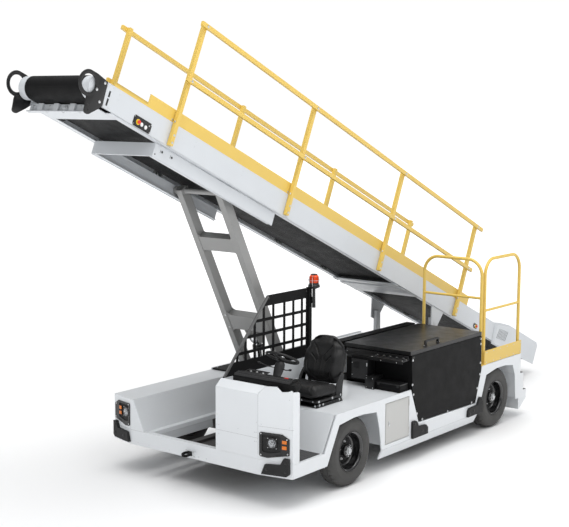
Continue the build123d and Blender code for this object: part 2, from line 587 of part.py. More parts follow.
# ================================================================ CONVEYOR
near, far = conv_y + conv_half, conv_y - conv_half
ps, pn = on_slope(*pivot)
plate_outline = [(conv_front, 10), (conv_front, plate_h), (-4560, plate_h), (-4700, 250), (-4960, 290), (-5770, 290), (conv_rear - 14, 262), (conv_rear, 10), (-5430, -6), (-5200, 0)]
with BuildPart() as conveyor_sides:
    for y in (near, far + plate_t):
        panel(conv_side(y), plate_outline, plate_t)
    # folded lower flanges and pivot ears
    for y0, y1 in ((near - 60, near - plate_t), (far + plate_t, far + 60)):
        block(conv_level(0), -5150, 2246, y0, y1, 6)
    for y in (near - plate_t, far + plate_t + 14):
        panel(conv_side(y), [(ps - 140, 6), (ps - 60, pn - 48), (ps + 60, pn - 48), (ps + 140, 6), (ps + 140, 60), (ps - 140, 60)], 14)
        disc(conv_side(y), ps, pn, 25.06, 14, mode=Mode.SUBTRACT)
save(conveyor_sides, "conveyor_sides")

# belt bed and cross members between the side plates
bed_y0, bed_y1 = far + plate_t, near - plate_t
head = (2450.0, 128.0)
tail = (-5640.0, 112.0)
belt_r = roller_r + belt_t
with BuildPart() as conveyor_bed:
    block(conv_level(178), -5480, 2180, bed_y0, bed_y1, 8)
    # cross members: rear and front station on the slope, height band
    for s0, s1, n0, n1 in ((2130, 2200, 44, 178), (300, 420, 44, 178), (-1500, -1380, 44, 178), (-2900, -2780, 44, 178), (-4300, -4180, 44, 178), (-5300, -5220, 44, 178)):
        block(conv_level(n0), s0, s1, bed_y0, bed_y1, n1 - n0)
    # end rollers
    disc(conv_side(conv_y + belt_half - 4), head[0], head[1], roller_r - 0.6, 2 * belt_half - 8)
    disc(conv_side(conv_y + belt_half - 4), tail[0], tail[1], roller_r - 10.6, 2 * belt_half - 8)
    # round end shields beside the head roller, and the ribbed channel under it
    for y in (near - plate_t - 1, conv_y - belt_half - 6):
        disc(conv_side(y), head[0], head[1], roller_r + 6, (near - plate_t - 1) - (conv_y + belt_half + 6))
    block(conv_level(0), 2120, 2366, far + 62, near - 62, 6)
    block(conv_level(-52), 2364, 2372, far + 14, 46, 74)
    block(conv_level(-52), 2372, 2402, far + 14, 46, 8)
    for y in (-520, -330, -140):
        block(conv_level(-48), 2370, 2394, y - 30, y + 30, 70)
save(conveyor_bed, "conveyor_bed")

with BuildPart() as belt:
    with BuildSketch(conv_side(conv_y + belt_half)) as loop:
        # outer outline less inner outline: two straight runs tangent to both end rollers
        with BuildLine():
            Line((head[0], head[1] + belt_r), (tail[0], tail[1] + belt_r - 10))
            ThreePointArc((tail[0], tail[1] + belt_r - 10), (tail[0] - belt_r + 10, tail[1]), (tail[0], tail[1] - belt_r + 10))
            Line((tail[0], tail[1] - belt_r + 10), (head[0], head[1] - belt_r))
            ThreePointArc((head[0], head[1] - belt_r), (head[0] + belt_r, head[1]), (head[0], head[1] + belt_r))
        make_face()
        with BuildLine():
            Line((head[0], head[1] + roller_r), (tail[0], tail[1] + roller_r - 10))
            ThreePointArc((tail[0], tail[1] + roller_r - 10), (tail[0] - roller_r + 10, tail[1]), (tail[0], tail[1] - roller_r + 10))
            Line((tail[0], tail[1] - roller_r + 10), (head[0], head[1] - roller_r))
            ThreePointArc((head[0], head[1] - roller_r), (head[0] + roller_r, head[1]), (head[0], head[1] + roller_r))
        make_face(mode=Mode.SUBTRACT)
    extrude(loop.sketch, amount=2 * belt_half)
save(belt, "belt")

# black end plates with their ring and foot, outside the side plates
ring_c = (2558.0, 123.0)
with BuildPart() as head_plates:
    for y in (near + 12, far):
        with BuildSketch(conv_side(y)) as outline:
            with BuildLine():
                Polyline((2378, 212), (2500, 229), (2558, 228), (2558, 20), (2536, -15), (2526, -92), (2506, -108), (2472, -102), (2362, 14), close=True)
            make_face()
            with Locations(ring_c):
                Circle(105)
                Circle(77, mode=Mode.SUBTRACT)
        extrude(outline.sketch, amount=12)
save(head_plates, "head_plates")

# slide track of the lift frame: an open frame of channel under the front half
with BuildPart() as slide_track:
    for y0, y1 in ((track_near, track_near + 14), (track_far - 14, track_far)):
        block(conv_level(-122), -60, 1660, y0, y1, 116)
    for y0, y1 in ((track_near - 34, track_near), (track_far, track_far + 34)):
        block(conv_level(-122), -40, 1640, y0, y1, 8)
    block(conv_across(1646), track_far, track_near, -122, -6, 14)
save(slide_track, "slide_track")

# yellow toe boards on both side plates
with BuildPart() as toe_boards:
    for y in (near - 2, far + plate_t):
        panel(conv_side(y), [(2290, plate_h), (2290, 236), (1893, 236), (1893, 324), (-3846, 324), (-3838, plate_h)], 6)
save(toe_boards, "toe_boards")

# louvred motor cover on the left side plate, control boxes
with BuildPart() as motor_cover:
    panel(conv_side(near + 32), [(-4600, -40), (-4590, 205), (-4940, 285), (-4975, 50), (-4880, -40)], 32)
save(motor_cover, "motor_cover")

with BuildPart() as control_boxes:
    block(conv_side(near + 26), 1790, 2004, 14, 104, 26)
    block(conv_side(near + 26), -4175, -4085, 20, 78, 26)
    block(conv_side(far), -4175, -4085, 20, 78, 26)
save(control_boxes, "control_boxes")

# ---- folding handrails: four posts a side and a pair of rails pinned to them
post_stations = [first_post - i * post_pitch for i in range(4)]
post_gap = 5.0                   # side plate to post
rail_t = 26.0
# the two rails of a side: height above the conveyor's lower edge, rear end, front end
rail_table = ((1094.0, -3675.0, 1623.0), (592.0, -3645.0, 1611.0))
for name, sgn in (("left", 1), ("right", -1)):
    inner = near + post_gap if sgn > 0 else far - post_gap          # post face next to the side plate
    outer = inner + sgn * post_size
    for i, s in enumerate(post_stations):
        with BuildPart() as post:
            block(conv_side(max(inner, outer)), s - post_size / 2, s + post_size / 2, 16, 1112, post_size)
            # washers that carry the rails
            for n, s0, s1 in rail_table:
                disc(conv_side(max(outer, outer + sgn * 3)), s, n, 16, 3)
        save(post, "post_%s_%d" % (name, i + 1))
    rail_near = outer + sgn * 3.5
    with BuildPart() as rails:
        for n, s0, s1 in rail_table:
            block(conv_side(max(rail_near, rail_near + sgn * rail_t)), s0, s1, n - 20, n + 20, rail_t)
    save(rails, "rails_" + name)
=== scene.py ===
import json
import math
from math import cos, sin, pi, radians, hypot, atan2

import bmesh
import bpy
from mathutils import Matrix, Vector


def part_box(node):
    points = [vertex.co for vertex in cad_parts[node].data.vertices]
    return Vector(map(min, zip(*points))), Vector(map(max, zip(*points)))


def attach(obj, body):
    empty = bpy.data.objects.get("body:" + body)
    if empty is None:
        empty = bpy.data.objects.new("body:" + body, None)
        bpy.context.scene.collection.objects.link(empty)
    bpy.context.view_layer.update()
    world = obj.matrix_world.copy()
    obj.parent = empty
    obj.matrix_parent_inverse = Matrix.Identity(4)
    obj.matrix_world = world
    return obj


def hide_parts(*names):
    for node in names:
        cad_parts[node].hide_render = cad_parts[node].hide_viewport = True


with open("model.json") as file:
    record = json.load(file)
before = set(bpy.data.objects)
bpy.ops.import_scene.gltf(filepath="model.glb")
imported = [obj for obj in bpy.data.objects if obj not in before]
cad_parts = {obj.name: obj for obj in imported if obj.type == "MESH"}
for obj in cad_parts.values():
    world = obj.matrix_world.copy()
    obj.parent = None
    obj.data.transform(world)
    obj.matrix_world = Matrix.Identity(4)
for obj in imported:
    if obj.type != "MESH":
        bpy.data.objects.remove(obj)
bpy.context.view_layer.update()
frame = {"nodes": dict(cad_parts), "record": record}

N = frame["nodes"]
BODY_OF = {n: b for b, ns in frame["record"]["behaviour"]["bodies"].items() for n in ns}

# front axle station in the frame, and the conveyor's slope
_lo, _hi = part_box("tyre_front_left")
FA = (_lo.x + _hi.x) / 2
INC = radians(23.728)
CA, SA = cos(INC), sin(INC)


def st(x, y, z):
    """Millimetres counted from the front axle -> metres in the frame."""
    return Vector((FA + x / 1000, y / 1000, z / 1000))


def cv(s, y, n):
    """Millimetres along the conveyor, across it and square to it -> metres in the frame."""
    return Vector((FA + (s * CA - n * SA) / 1000, y / 1000, (2450 + s * SA + n * CA) / 1000))


# ================================================================ camera
YAW, PITCH, ROLL = 0.667157894122352, 0.1302606013064721, 0.00393933783640521
fwd = Vector((-cos(YAW) * cos(PITCH), -sin(YAW) * cos(PITCH), -sin(PITCH)))
right = fwd.cross(Vector((0, 0, 1))).normalized()
up = right.cross(fwd)
r2 = right * cos(ROLL) + up * sin(ROLL)
u2 = up * cos(ROLL) - right * sin(ROLL)
cam_data = bpy.data.cameras.new("camera")
cam = bpy.data.objects.new("camera", cam_data)
bpy.context.scene.collection.objects.link(cam)
cam_data.sensor_fit = "HORIZONTAL"
cam_data.sensor_width = 36.0
cam_data.lens = 1240.765 / 569 * 36.0
cam_data.clip_end = 200
cam_data.clip_start = 0.05
m = Matrix((r2, u2, -fwd)).transposed().to_4x4()
m.translation = Vector((FA + 9.927463336115153 * 0.9, 8.132740199354746 * 0.9, 3.843150383925493 * 0.9))
cam.matrix_world = m
bpy.context.scene.camera = cam


# ================================================================ materials
def new_material(name):
    mat = bpy.data.materials.new(name)
    mat.use_nodes = True
    nt = mat.node_tree
    b = nt.nodes["Principled BSDF"]
    return mat, nt, b


def ramp(nt, stops):
    r = nt.nodes.new("ShaderNodeValToRGB")
    el = r.color_ramp.elements
    el[0].position, el[0].color = stops[0][0], tuple(stops[0][1]) + (1,)
    el[1].position, el[1].color = stops[-1][0], tuple(stops[-1][1]) + (1,)
    for pos, col in stops[1:-1]:
        e = el.new(pos)
        e.color = tuple(col) + (1,)
    return r


def noise(nt, scale, detail=4.0, rough=0.55, coords=None, distortion=0.0):
    n = nt.nodes.new("ShaderNodeTexNoise")
    n.inputs["Scale"].default_value = scale
    n.inputs["Detail"].default_value = detail
    n.inputs["Roughness"].default_value = rough
    n.inputs["Distortion"].default_value = distortion
    if coords is not None:
        nt.links.new(coords, n.inputs["Vector"])
    return n


def mapped(nt, scale=(1, 1, 1), rot=(0, 0, 0)):
    tc = nt.nodes.new("ShaderNodeTexCoord")
    mp = nt.nodes.new("ShaderNodeMapping")
    mp.inputs["Scale"].default_value = scale
    mp.inputs["Rotation"].default_value = rot
    nt.links.new(tc.outputs["Object"], mp.inputs["Vector"])
    return mp.outputs["Vector"]


def shade(c, k):
    return tuple(min(1.0, x * k) for x in c)


def surface(name, base, rough, metal=0.0, coat=0.0, coat_rough=0.08, spec=0.5, vary=0.04, vary_scale=2.2,
            rough_vary=0.06, rough_scale=9.0, bump=0.0, bump_scale=400.0, bevel=0.0, sheen=0.0, extra=None, dirt=0.0):
    """Painted, moulded or rubber surface: broad colour drift, patchy roughness, fine grain, softened edges."""
    mat, nt, b = new_material(name)
    b.inputs["Base Color"].default_value = tuple(base) + (1,)
    b.inputs["Roughness"].default_value = rough
    b.inputs["Metallic"].default_value = metal
    b.inputs["Coat Weight"].default_value = coat
    b.inputs["Coat Roughness"].default_value = coat_rough
    b.inputs["Specular IOR Level"].default_value = spec
    if sheen:
        b.inputs["Sheen Weight"].default_value = sheen
        b.inputs["Sheen Roughness"].default_value = 0.4
    co = mapped(nt)
    n1 = noise(nt, vary_scale, 5, 0.6, co)
    stops = [(0.30, shade(base, 1 - vary)), (0.52, base), (0.74, shade(base, 1 + vary))]
    cr = ramp(nt, stops)
    nt.links.new(n1.outputs["Fac"], cr.inputs["Fac"])
    colour = cr.outputs["Color"]
    if dirt > 0:
        # road dust that gathers low on the machine
        tc = nt.nodes.new("ShaderNodeTexCoord")
        sep = nt.nodes.new("ShaderNodeSeparateXYZ")
        nt.links.new(tc.outputs["Object"], sep.inputs["Vector"])
        mr = nt.nodes.new("ShaderNodeMapRange")
        mr.inputs["From Min"].default_value = 0.75
        mr.inputs["From Max"].default_value = 0.12
        mr.inputs["To Min"].default_value = 0.0
        mr.inputs["To Max"].default_value = dirt
        nt.links.new(sep.outputs["Z"], mr.inputs["Value"])
        n3 = noise(nt, 6.0, 6, 0.65, co)
        mul = nt.nodes.new("ShaderNodeMath")
        mul.operation = "MULTIPLY"
        nt.links.new(mr.outputs["Result"], mul.inputs[0])
        nt.links.new(n3.outputs["Fac"], mul.inputs[1])
        mix = nt.nodes.new("ShaderNodeMix")
        mix.data_type = "RGBA"
        mix.inputs["B"].default_value = (0.33, 0.31, 0.28, 1)
        nt.links.new(mul.outputs["Value"], mix.inputs["Factor"])
        nt.links.new(colour, mix.inputs["A"])
        colour = mix.outputs["Result"]
    nt.links.new(colour, b.inputs["Base Color"])
    n2 = noise(nt, rough_scale, 4, 0.6, co)
    rr = nt.nodes.new("ShaderNodeMapRange")
    rr.inputs["From Min"].default_value = 0.3
    rr.inputs["From Max"].default_value = 0.7
    rr.inputs["To Min"].default_value = max(0.02, rough - rough_vary)
    rr.inputs["To Max"].default_value = min(1.0, rough + rough_vary)
    nt.links.new(n2.outputs["Fac"], rr.inputs["Value"])
    nt.links.new(rr.outputs["Result"], b.inputs["Roughness"])
    normal = None
    if bevel > 0:
        bv = nt.nodes.new("ShaderNodeBevel")
        bv.samples = 4
        bv.inputs["Radius"].default_value = bevel
        normal = bv.outputs["Normal"]
    if bump > 0 or extra is not None:
        bp = nt.nodes.new("ShaderNodeBump")
        bp.inputs["Strength"].default_value = 1.0
        bp.inputs["Distance"].default_value = bump if bump > 0 else 0.001
        if extra is not None:
            height, dist = extra(nt)
            bp.inputs["Distance"].default_value = dist
            nt.links.new(height, bp.inputs["Height"])
        else:
            n4 = noise(nt, bump_scale, 2, 0.5, co)
            nt.links.new(n4.outputs["Fac"], bp.inputs["Height"])
        if normal is not None:
            nt.links.new(normal, bp.inputs["Normal"])
        normal = bp.outputs["Normal"]
    if normal is not None:
        nt.links.new(normal, b.inputs["Normal"])
    return mat


def tread_plate(nt):
    """Raised pips of an anti-slip deck."""
    co = mapped(nt)
    v = nt.nodes.new("ShaderNodeTexVoronoi")
    v.inputs["Scale"].default_value = 55.0
    v.inputs["Randomness"].default_value = 0.15
    nt.links.new(co, v.inputs["Vector"])
    r = nt.nodes.new("ShaderNodeMapRange")
    r.inputs["From Min"].default_value = 0.42
    r.inputs["From Max"].default_value = 0.25
    nt.links.new(v.outputs["Distance"], r.inputs["Value"])
    return r.outputs["Result"], 0.0012


def belt_weave(nt):
    """Rough-top conveyor belt: a fine lattice over a mottled cover."""
    co = mapped(nt, (1, 1, 1), (0, INC, 0))
    w1 = nt.nodes.new("ShaderNodeTexWave")
    w1.wave_type, w1.bands_direction = "BANDS", "X"
    w1.inputs["Scale"].default_value = 60.0
    w1.inputs["Distortion"].default_value = 1.0
    w2 = nt.nodes.new("ShaderNodeTexWave")
    w2.wave_type, w2.bands_direction = "BANDS", "Y"
    w2.inputs["Scale"].default_value = 60.0
    w2.inputs["Distortion"].default_value = 1.0
    nt.links.new(co, w1.inputs["Vector"])
    nt.links.new(co, w2.inputs["Vector"])
    mul = nt.nodes.new("ShaderNodeMath")
    mul.operation = "MULTIPLY"
    nt.links.new(w1.outputs["Fac"], mul.inputs[0])
    nt.links.new(w2.outputs["Fac"], mul.inputs[1])
    return mul.outputs["Value"], 0.0006


def leather_grain(nt):
    co = mapped(nt)
    v = nt.nodes.new("ShaderNodeTexVoronoi")
    v.feature = "DISTANCE_TO_EDGE"
    v.inputs["Scale"].default_value = 420.0
    nt.links.new(co, v.inputs["Vector"])
    r = nt.nodes.new("ShaderNodeMapRange")
    r.inputs["From Min"].default_value = 0.0
    r.inputs["From Max"].default_value = 0.22
    nt.links.new(v.outputs["Distance"], r.inputs["Value"])
    return r.outputs["Result"], 0.00022


WHITE = surface("paint_white", (0.735, 0.760, 0.785), 0.34, coat=0.35, coat_rough=0.12, vary=0.018, bump=0.00012, bump_scale=500, bevel=0.006, dirt=0.10)
PALE = surface("paint_conveyor", (0.610, 0.636, 0.664), 0.36, coat=0.30, coat_rough=0.14, vary=0.02, bump=0.00012, bump_scale=500, bevel=0.004)
YELLOW = surface("paint_yellow", (0.745, 0.515, 0.106), 0.42, coat=0.12, coat_rough=0.25, vary=0.02)
BLACK = surface("paint_black_texture", (0.0068, 0.0068, 0.0071), 0.50, spec=0.10, vary=0.10, bump=0.0004, bump_scale=900, bevel=0.003)
SATIN_BLACK = surface("paint_black_satin", (0.0085, 0.0085, 0.009), 0.36, coat=0.12, coat_rough=0.2, spec=0.4, vary=0.10, bump=0.0002, bump_scale=700, bevel=0.003)
DECK = surface("deck_black_tread", (0.010, 0.010, 0.0104), 0.60, spec=0.2, vary=0.15, extra=tread_plate)
GREY = surface("paint_lift_grey", (0.290, 0.290, 0.286), 0.42, coat=0.15, coat_rough=0.25, vary=0.03, bump=0.0002, bump_scale=500, bevel=0.004)
FRAME = surface("paint_frame_dark", (0.022, 0.0225, 0.024), 0.55, spec=0.35, vary=0.12, bump=0.0004, bump_scale=200, bevel=0.003, dirt=0.25)
CAST = surface("cast_iron_dark", (0.040, 0.040, 0.042), 0.62, metal=0.3, vary=0.18, bump=0.0012, bump_scale=120, bevel=0.003, dirt=0.3)
RUBBER = surface("rubber_black", (0.013, 0.013, 0.0135), 0.62, spec=0.35, vary=0.12, bump=0.0006, bump_scale=350, bevel=0.003)
TYRE = surface("tyre_rubber", (0.062, 0.061, 0.059), 0.70, vary=0.14, vary_scale=6, bump=0.0008, bump_scale=260, spec=0.4)
RIM = surface("rim_gloss_black", (0.006, 0.006, 0.0065), 0.16, coat=0.6, coat_rough=0.05, vary=0.1, spec=0.6)
BELT = surface("belt_rubber", (0.0060, 0.0060, 0.0064), 0.55, spec=0.12, vary=0.12, extra=belt_weave)
SEAT = surface("seat_vinyl", (0.0105, 0.0105, 0.0109), 0.54, spec=0.34, vary=0.12, extra=leather_grain, sheen=0.05)
PLASTIC = surface("plastic_black", (0.0115, 0.0115, 0.012), 0.42, spec=0.4, vary=0.1, bump=0.0005, bump_scale=600, bevel=0.003)
PLASTIC_SOFT = surface("plastic_grey_black", (0.022, 0.022, 0.023), 0.55, spec=0.4, vary=0.1, bump=0.0006, bump_scale=700, bevel=0.002)
DOOR = surface("paint_door", (0.52, 0.52, 0.507), 0.42, coat=0.1, vary=0.02, bump=0.0003, bump_scale=420, bevel=0.003)
STEEL = surface("steel_zinc", (0.62, 0.63, 0.64), 0.30, metal=1.0, vary=0.08, vary_scale=14, bump=0.0002, bump_scale=300)
CHROME = surface("chrome_rod", (0.80, 0.81, 0.82), 0.10, metal=1.0, vary=0.04, rough_vary=0.03)
RED = surface("button_red", (0.72, 0.018, 0.008), 0.30, coat=0.4, vary=0.03)
BTN_WHITE = surface("button_white", (0.80, 0.80, 0.80), 0.32, coat=0.3, vary=0.02)
BTN_YELLOW = surface("button_yellow", (0.80, 0.56, 0.02), 0.38, vary=0.03)
SEAM = surface("seam_shadow", (0.36, 0.37, 0.38), 0.6, vary=0.02)
DARK = surface("gap_black", (0.006, 0.006, 0.006), 0.7, vary=0.02)
REFLECTOR = surface("lamp_reflector", (0.50, 0.51, 0.53), 0.10, metal=1.0, vary=0.03)
CABLE = surface("battery_case", (0.03, 0.03, 0.034), 0.55, vary=0.12, bump=0.0006, bump_scale=200)
TAIL_RED = surface("lens_red", (0.42, 0.010, 0.008), 0.18, coat=0.6, vary=0.05)


def glassy(name, colour, rough, transmission, emission=None, strength=0.0, ior=1.45):
    mat, nt, b = new_material(name)
    b.inputs["Base Color"].default_value = tuple(colour) + (1,)
    b.inputs["Roughness"].default_value = rough
    b.inputs["Transmission Weight"].default_value = transmission
    b.inputs["IOR"].default_value = ior
    if emission:
        b.inputs["Emission Color"].default_value = tuple(emission) + (1,)
        b.inputs["Emission Strength"].default_value = strength
    co = mapped(nt)
    w = nt.nodes.new("ShaderNodeTexWave")
    w.wave_type, w.bands_direction = "BANDS", "Z"
    w.inputs["Scale"].default_value = 110.0
    nt.links.new(co, w.inputs["Vector"])
    bp = nt.nodes.new("ShaderNodeBump")
    bp.inputs["Distance"].default_value = 0.0006
    nt.links.new(w.outputs["Fac"], bp.inputs["Height"])
    nt.links.new(bp.outputs["Normal"], b.inputs["Normal"])
    n1 = noise(nt, 8.0, 3, 0.5, co)
    cr = ramp(nt, [(0.3, shade(colour, 0.9)), (0.7, shade(colour, 1.08))])
    nt.links.new(n1.outputs["Fac"], cr.inputs["Fac"])
    nt.links.new(cr.outputs["Color"], b.inputs["Base Color"])
    return mat


AMBER = glassy("lens_amber", (0.86, 0.085, 0.010), 0.14, 0.20, (0.9, 0.08, 0.006), 0.14)
ORANGE = glassy("lens_orange", (0.84, 0.22, 0.025), 0.18, 0.15, (0.9, 0.22, 0.03), 0.10)
CLEAR = glassy("lens_clear", (0.93, 0.95, 0.97), 0.03, 0.95)


# ================================================================ mesh builders
def make(name, bm, mat, body, smooth=None):
    me = bpy.data.meshes.new(name)
    bmesh.ops.recalc_face_normals(bm, faces=bm.faces[:])
    bm.to_mesh(me)
    bm.free()
    ob = bpy.data.objects.new(name, me)
    bpy.context.scene.collection.objects.link(ob)
    mats = mat if isinstance(mat, (list, tuple)) else [mat]
    for x in mats:
        me.materials.append(x)
    if smooth is not None:
        for p in me.polygons:
            p.use_smooth = True
        me.set_sharp_from_angle(angle=radians(smooth))
    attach(ob, body)
    return ob


def add_box(bm, lo, hi, bevel=0.0, seg=2, mat=0, to=None):
    """Box between two corners given in a local system, put in place by the function to()."""
    vs = []
    for x in (lo[0], hi[0]):
        for y in (lo[1], hi[1]):
            for z in (lo[2], hi[2]):
                vs.append(bm.verts.new((x, y, z)))
    fs = [bm.faces.new([vs[i] for i in f]) for f in ((0, 1, 3, 2), (4, 6, 7, 5), (0, 4, 5, 1), (2, 3, 7, 6), (0, 2, 6, 4), (1, 5, 7, 3))]
    for f in fs:
        f.material_index = mat
    geom = set(vs)
    if bevel > 0:
        edges = list({e for f in fs for e in f.edges})
        r = bmesh.ops.bevel(bm, geom=edges, offset=bevel, segments=seg, profile=0.6, affect="EDGES", clamp_overlap=True)
        geom = {v for f in r["faces"] for v in f.verts} | {v for v in geom if v.is_valid}
        for f in r["faces"]:
            f.material_index = mat
    if to:
        for v in geom:
            v.co = to(*v.co)
    return geom


def add_prism(bm, pts, d0, d1, bevel=0.0, seg=2, mat=0, to=None, holes=()):
    """Outline pts (u, v) with round holes (u, v, r) made solid from depth d0 to d1; to(u, v, d) puts it in place."""
    vert0 = [bm.verts.new((u, v, d0)) for u, v in pts]
    edges = [bm.edges.new((vert0[i], vert0[(i + 1) % len(pts)])) for i in range(len(pts))]
    allv = list(vert0)
    for (cu, cv_, r) in holes:
        k = 28
        hv = [bm.verts.new((cu + r * cos(2 * pi * i / k), cv_ + r * sin(2 * pi * i / k), d0)) for i in range(k)]
        edges += [bm.edges.new((hv[i], hv[(i + 1) % k])) for i in range(k)]
        allv += hv
    if holes:
        r = bmesh.ops.triangle_fill(bm, edges=edges, use_beauty=True, use_dissolve=False, normal=(0, 0, 1))
        faces = [g for g in r["geom"] if isinstance(g, bmesh.types.BMFace)]
    else:
        faces = [bm.faces.new(vert0)]
    r = bmesh.ops.extrude_face_region(bm, geom=faces)
    top = [g for g in r["geom"] if isinstance(g, bmesh.types.BMVert)]
    for v in top:
        v.co.z = d1
    geom = set(allv) | set(top)
    fcs = {f for v in geom for f in v.link_faces}
    for f in fcs:
        f.material_index = mat
    if bevel > 0:
        rim_edges = []
        for e in {e for v in geom for e in v.link_edges}:
            if len(e.link_faces) == 2:
                a = e.link_faces[0].normal_update() or e.link_faces[0].normal
                e.link_faces[1].normal_update()
                if e.calc_face_angle(0) > radians(25):
                    rim_edges.append(e)
        rr = bmesh.ops.bevel(bm, geom=rim_edges, offset=bevel, segments=seg, profile=0.6, affect="EDGES", clamp_overlap=True)
        for f in rr["faces"]:
            f.material_index = mat
        geom = {v for v in geom if v.is_valid} | {v for f in rr["faces"] for v in f.verts}
    if to:
        for v in geom:
            v.co = to(*v.co)
    return geom


def frame_at(origin, normal, upish=(0, 0, 1)):
    n = Vector(normal).normalized()
    a = Vector(upish)
    if abs(n.dot(a)) > 0.95:
        a = Vector((1, 0, 0))
    x = a.cross(n).normalized()
    y = n.cross(x)
    m = Matrix((x, y, n)).transposed().to_4x4()
    m.translation = Vector(origin)
    return m


def add_lathe(bm, profile, origin, axis, seg=24, mat=0, cap=True, upish=(0, 0, 1)):
    """Profile of (radius, distance along the axis) turned about the axis."""
    m = frame_at(origin, axis, upish)
    rings = []
    for r, h in profile:
        if r < 1e-7:
            rings.append([bm.verts.new(m @ Vector((0, 0, h)))])
        else:
            rings.append([bm.verts.new(m @ Vector((r * cos(2 * pi * i / seg), r * sin(2 * pi * i / seg), h))) for i in range(seg)])
    for a, b in zip(rings, rings[1:]):
        for i in range(seg):
            j = (i + 1) % seg
            if len(a) == 1 and len(b) == 1:
                continue
            if len(a) == 1:
                f = bm.faces.new((a[0], b[i], b[j]))
            elif len(b) == 1:
                f = bm.faces.new((a[i], a[j], b[0]))
            else:
                f = bm.faces.new((a[i], a[j], b[j], b[i]))
            f.material_index = mat
    if cap:
        for ring in (rings[0], rings[-1]):
            if len(ring) > 2:
                f = bm.faces.new(ring)
                f.material_index = mat
    return rings


def closed_lathe(bm, profile, origin, axis, seg=64, mat=0, upish=(0, 0, 1)):
    """As add_lathe, but the profile is a closed loop (a ring with no ends)."""
    m = frame_at(origin, axis, upish)
    rings = [[bm.verts.new(m @ Vector((r * cos(2 * pi * i / seg), r * sin(2 * pi * i / seg), h))) for i in range(seg)] for r, h in profile]
    k = len(rings)
    for a in range(k):
        b = (a + 1) % k
        for i in range(seg):
            j = (i + 1) % seg
            f = bm.faces.new((rings[a][i], rings[a][j], rings[b][j], rings[b][i]))
            f.material_index = mat
    return rings


def add_bolt(bm, at, normal, r=0.007, h=0.005, mat=0, washer=True, sides=6):
    """Hexagon head on a washer."""
    m = frame_at(at, normal)
    if washer:
        add_lathe(bm, [(r * 1.45, -0.0005), (r * 1.45, 0.0012), (r * 1.3, 0.0018)], at, normal, 16, mat)
    rings = []
    for rr, hh in ((r, 0.0), (r, h * 0.85), (r * 0.86, h)):
        rings.append([bm.verts.new(m @ Vector((rr * cos(2 * pi * i / sides), rr * sin(2 * pi * i / sides), hh))) for i in range(sides)])
    for a, b in zip(rings, rings[1:]):
        for i in range(sides):
            j = (i + 1) % sides
            f = bm.faces.new((a[i], a[j], b[j], b[i]))
            f.material_index = mat
    f = bm.faces.new(rings[-1])
    f.material_index = mat
    f = bm.faces.new(rings[0][::-1])
    f.material_index = mat


def add_dome(bm, at, normal, r=0.007, h=0.003, mat=0, seg=14):
    """Round screw head."""
    add_lathe(bm, [(r, -0.0006), (r, h * 0.3), (r * 0.8, h * 0.75), (r * 0.45, h), (0.0, h * 1.02)], at, normal, seg, mat)


def add_tube(bm, points, r, seg=12, mat=0, closed=False, cap=True):
    """Round tube along a line of points."""
    pts = [Vector(p) for p in points]
    n = len(pts)
    rings = []
    ref = None
    for i in range(n):
        if closed:
            d = (pts[(i + 1) % n] - pts[i - 1]).normalized()
        else:
            d = (pts[min(i + 1, n - 1)] - pts[max(i - 1, 0)]).normalized()
        if ref is None:
            ref = Vector((0, 0, 1)) if abs(d.z) < 0.9 else Vector((1, 0, 0))
            x = ref.cross(d).normalized()
        else:
            x = (x - d * x.dot(d)).normalized()
        y = d.cross(x)
        rings.append([bm.verts.new(pts[i] + (x * cos(2 * pi * k / seg) + y * sin(2 * pi * k / seg)) * r) for k in range(seg)])
    pairs = list(zip(rings, rings[1:])) + ([(rings[-1], rings[0])] if closed else [])
    for a, b in pairs:
        # match the nearest vertex so that a closed loop doesn't twist
        off = min(range(seg), key=lambda o: (a[0].co - b[o].co).length) if (closed and a is rings[-1]) else 0
        for i in range(seg):
            j = (i + 1) % seg
            f = bm.faces.new((a[i], a[j], b[(j + off) % seg], b[(i + off) % seg]))
            f.material_index = mat
    if cap and not closed:
        for ring in (rings[0][::-1], rings[-1]):
            f = bm.faces.new(ring)
            f.material_index = mat


def arc_points(c, r, a0, a1, k, u, v):
    """Points of an arc about c in the plane of u and v."""
    return [Vector(c) + Vector(u) * r * cos(a0 + (a1 - a0) * i / k) + Vector(v) * r * sin(a0 + (a1 - a0) * i / k) for i in range(k + 1)]


def paint(mat, *names):
    for n in names:
        ob = N[n]
        ob.data.materials.clear()
        ob.data.materials.append(mat)
        for p in ob.data.polygons:
            p.material_index = 0


# ================================================================ finishes of the CAD pieces that keep their shape
paint(WHITE, "front_beam", "driver_pod", "driver_floor", "left_side", "right_body", "rear_body", "wheel_arches")
paint(PALE, "conveyor_sides", "conveyor_bed", "slide_track")
paint(YELLOW, "toe_boards", "rear_guard_rails", "rails_left", "rails_right", *["post_%s_%d" % (s, i) for s in ("left", "right") for i in (1, 2, 3, 4)])
paint(BLACK, "battery_box", "mesh_guard", "towing_points")
paint(DECK, "deck")
paint(GREY, "lift_legs", "lift_crossbars")
paint(FRAME, "main_frame")
paint(PALE, "conveyor_support")
paint(CAST, "axles", "knuckle_left", "knuckle_right")
paint(BELT, "belt")
paint(SATIN_BLACK, "lift_barrel")
paint(CHROME, "lift_rod")
paint(CABLE, "battery_pack")
paint(DOOR, "locker_door")
paint(SATIN_BLACK, "battery_lid", "seat_suspension")


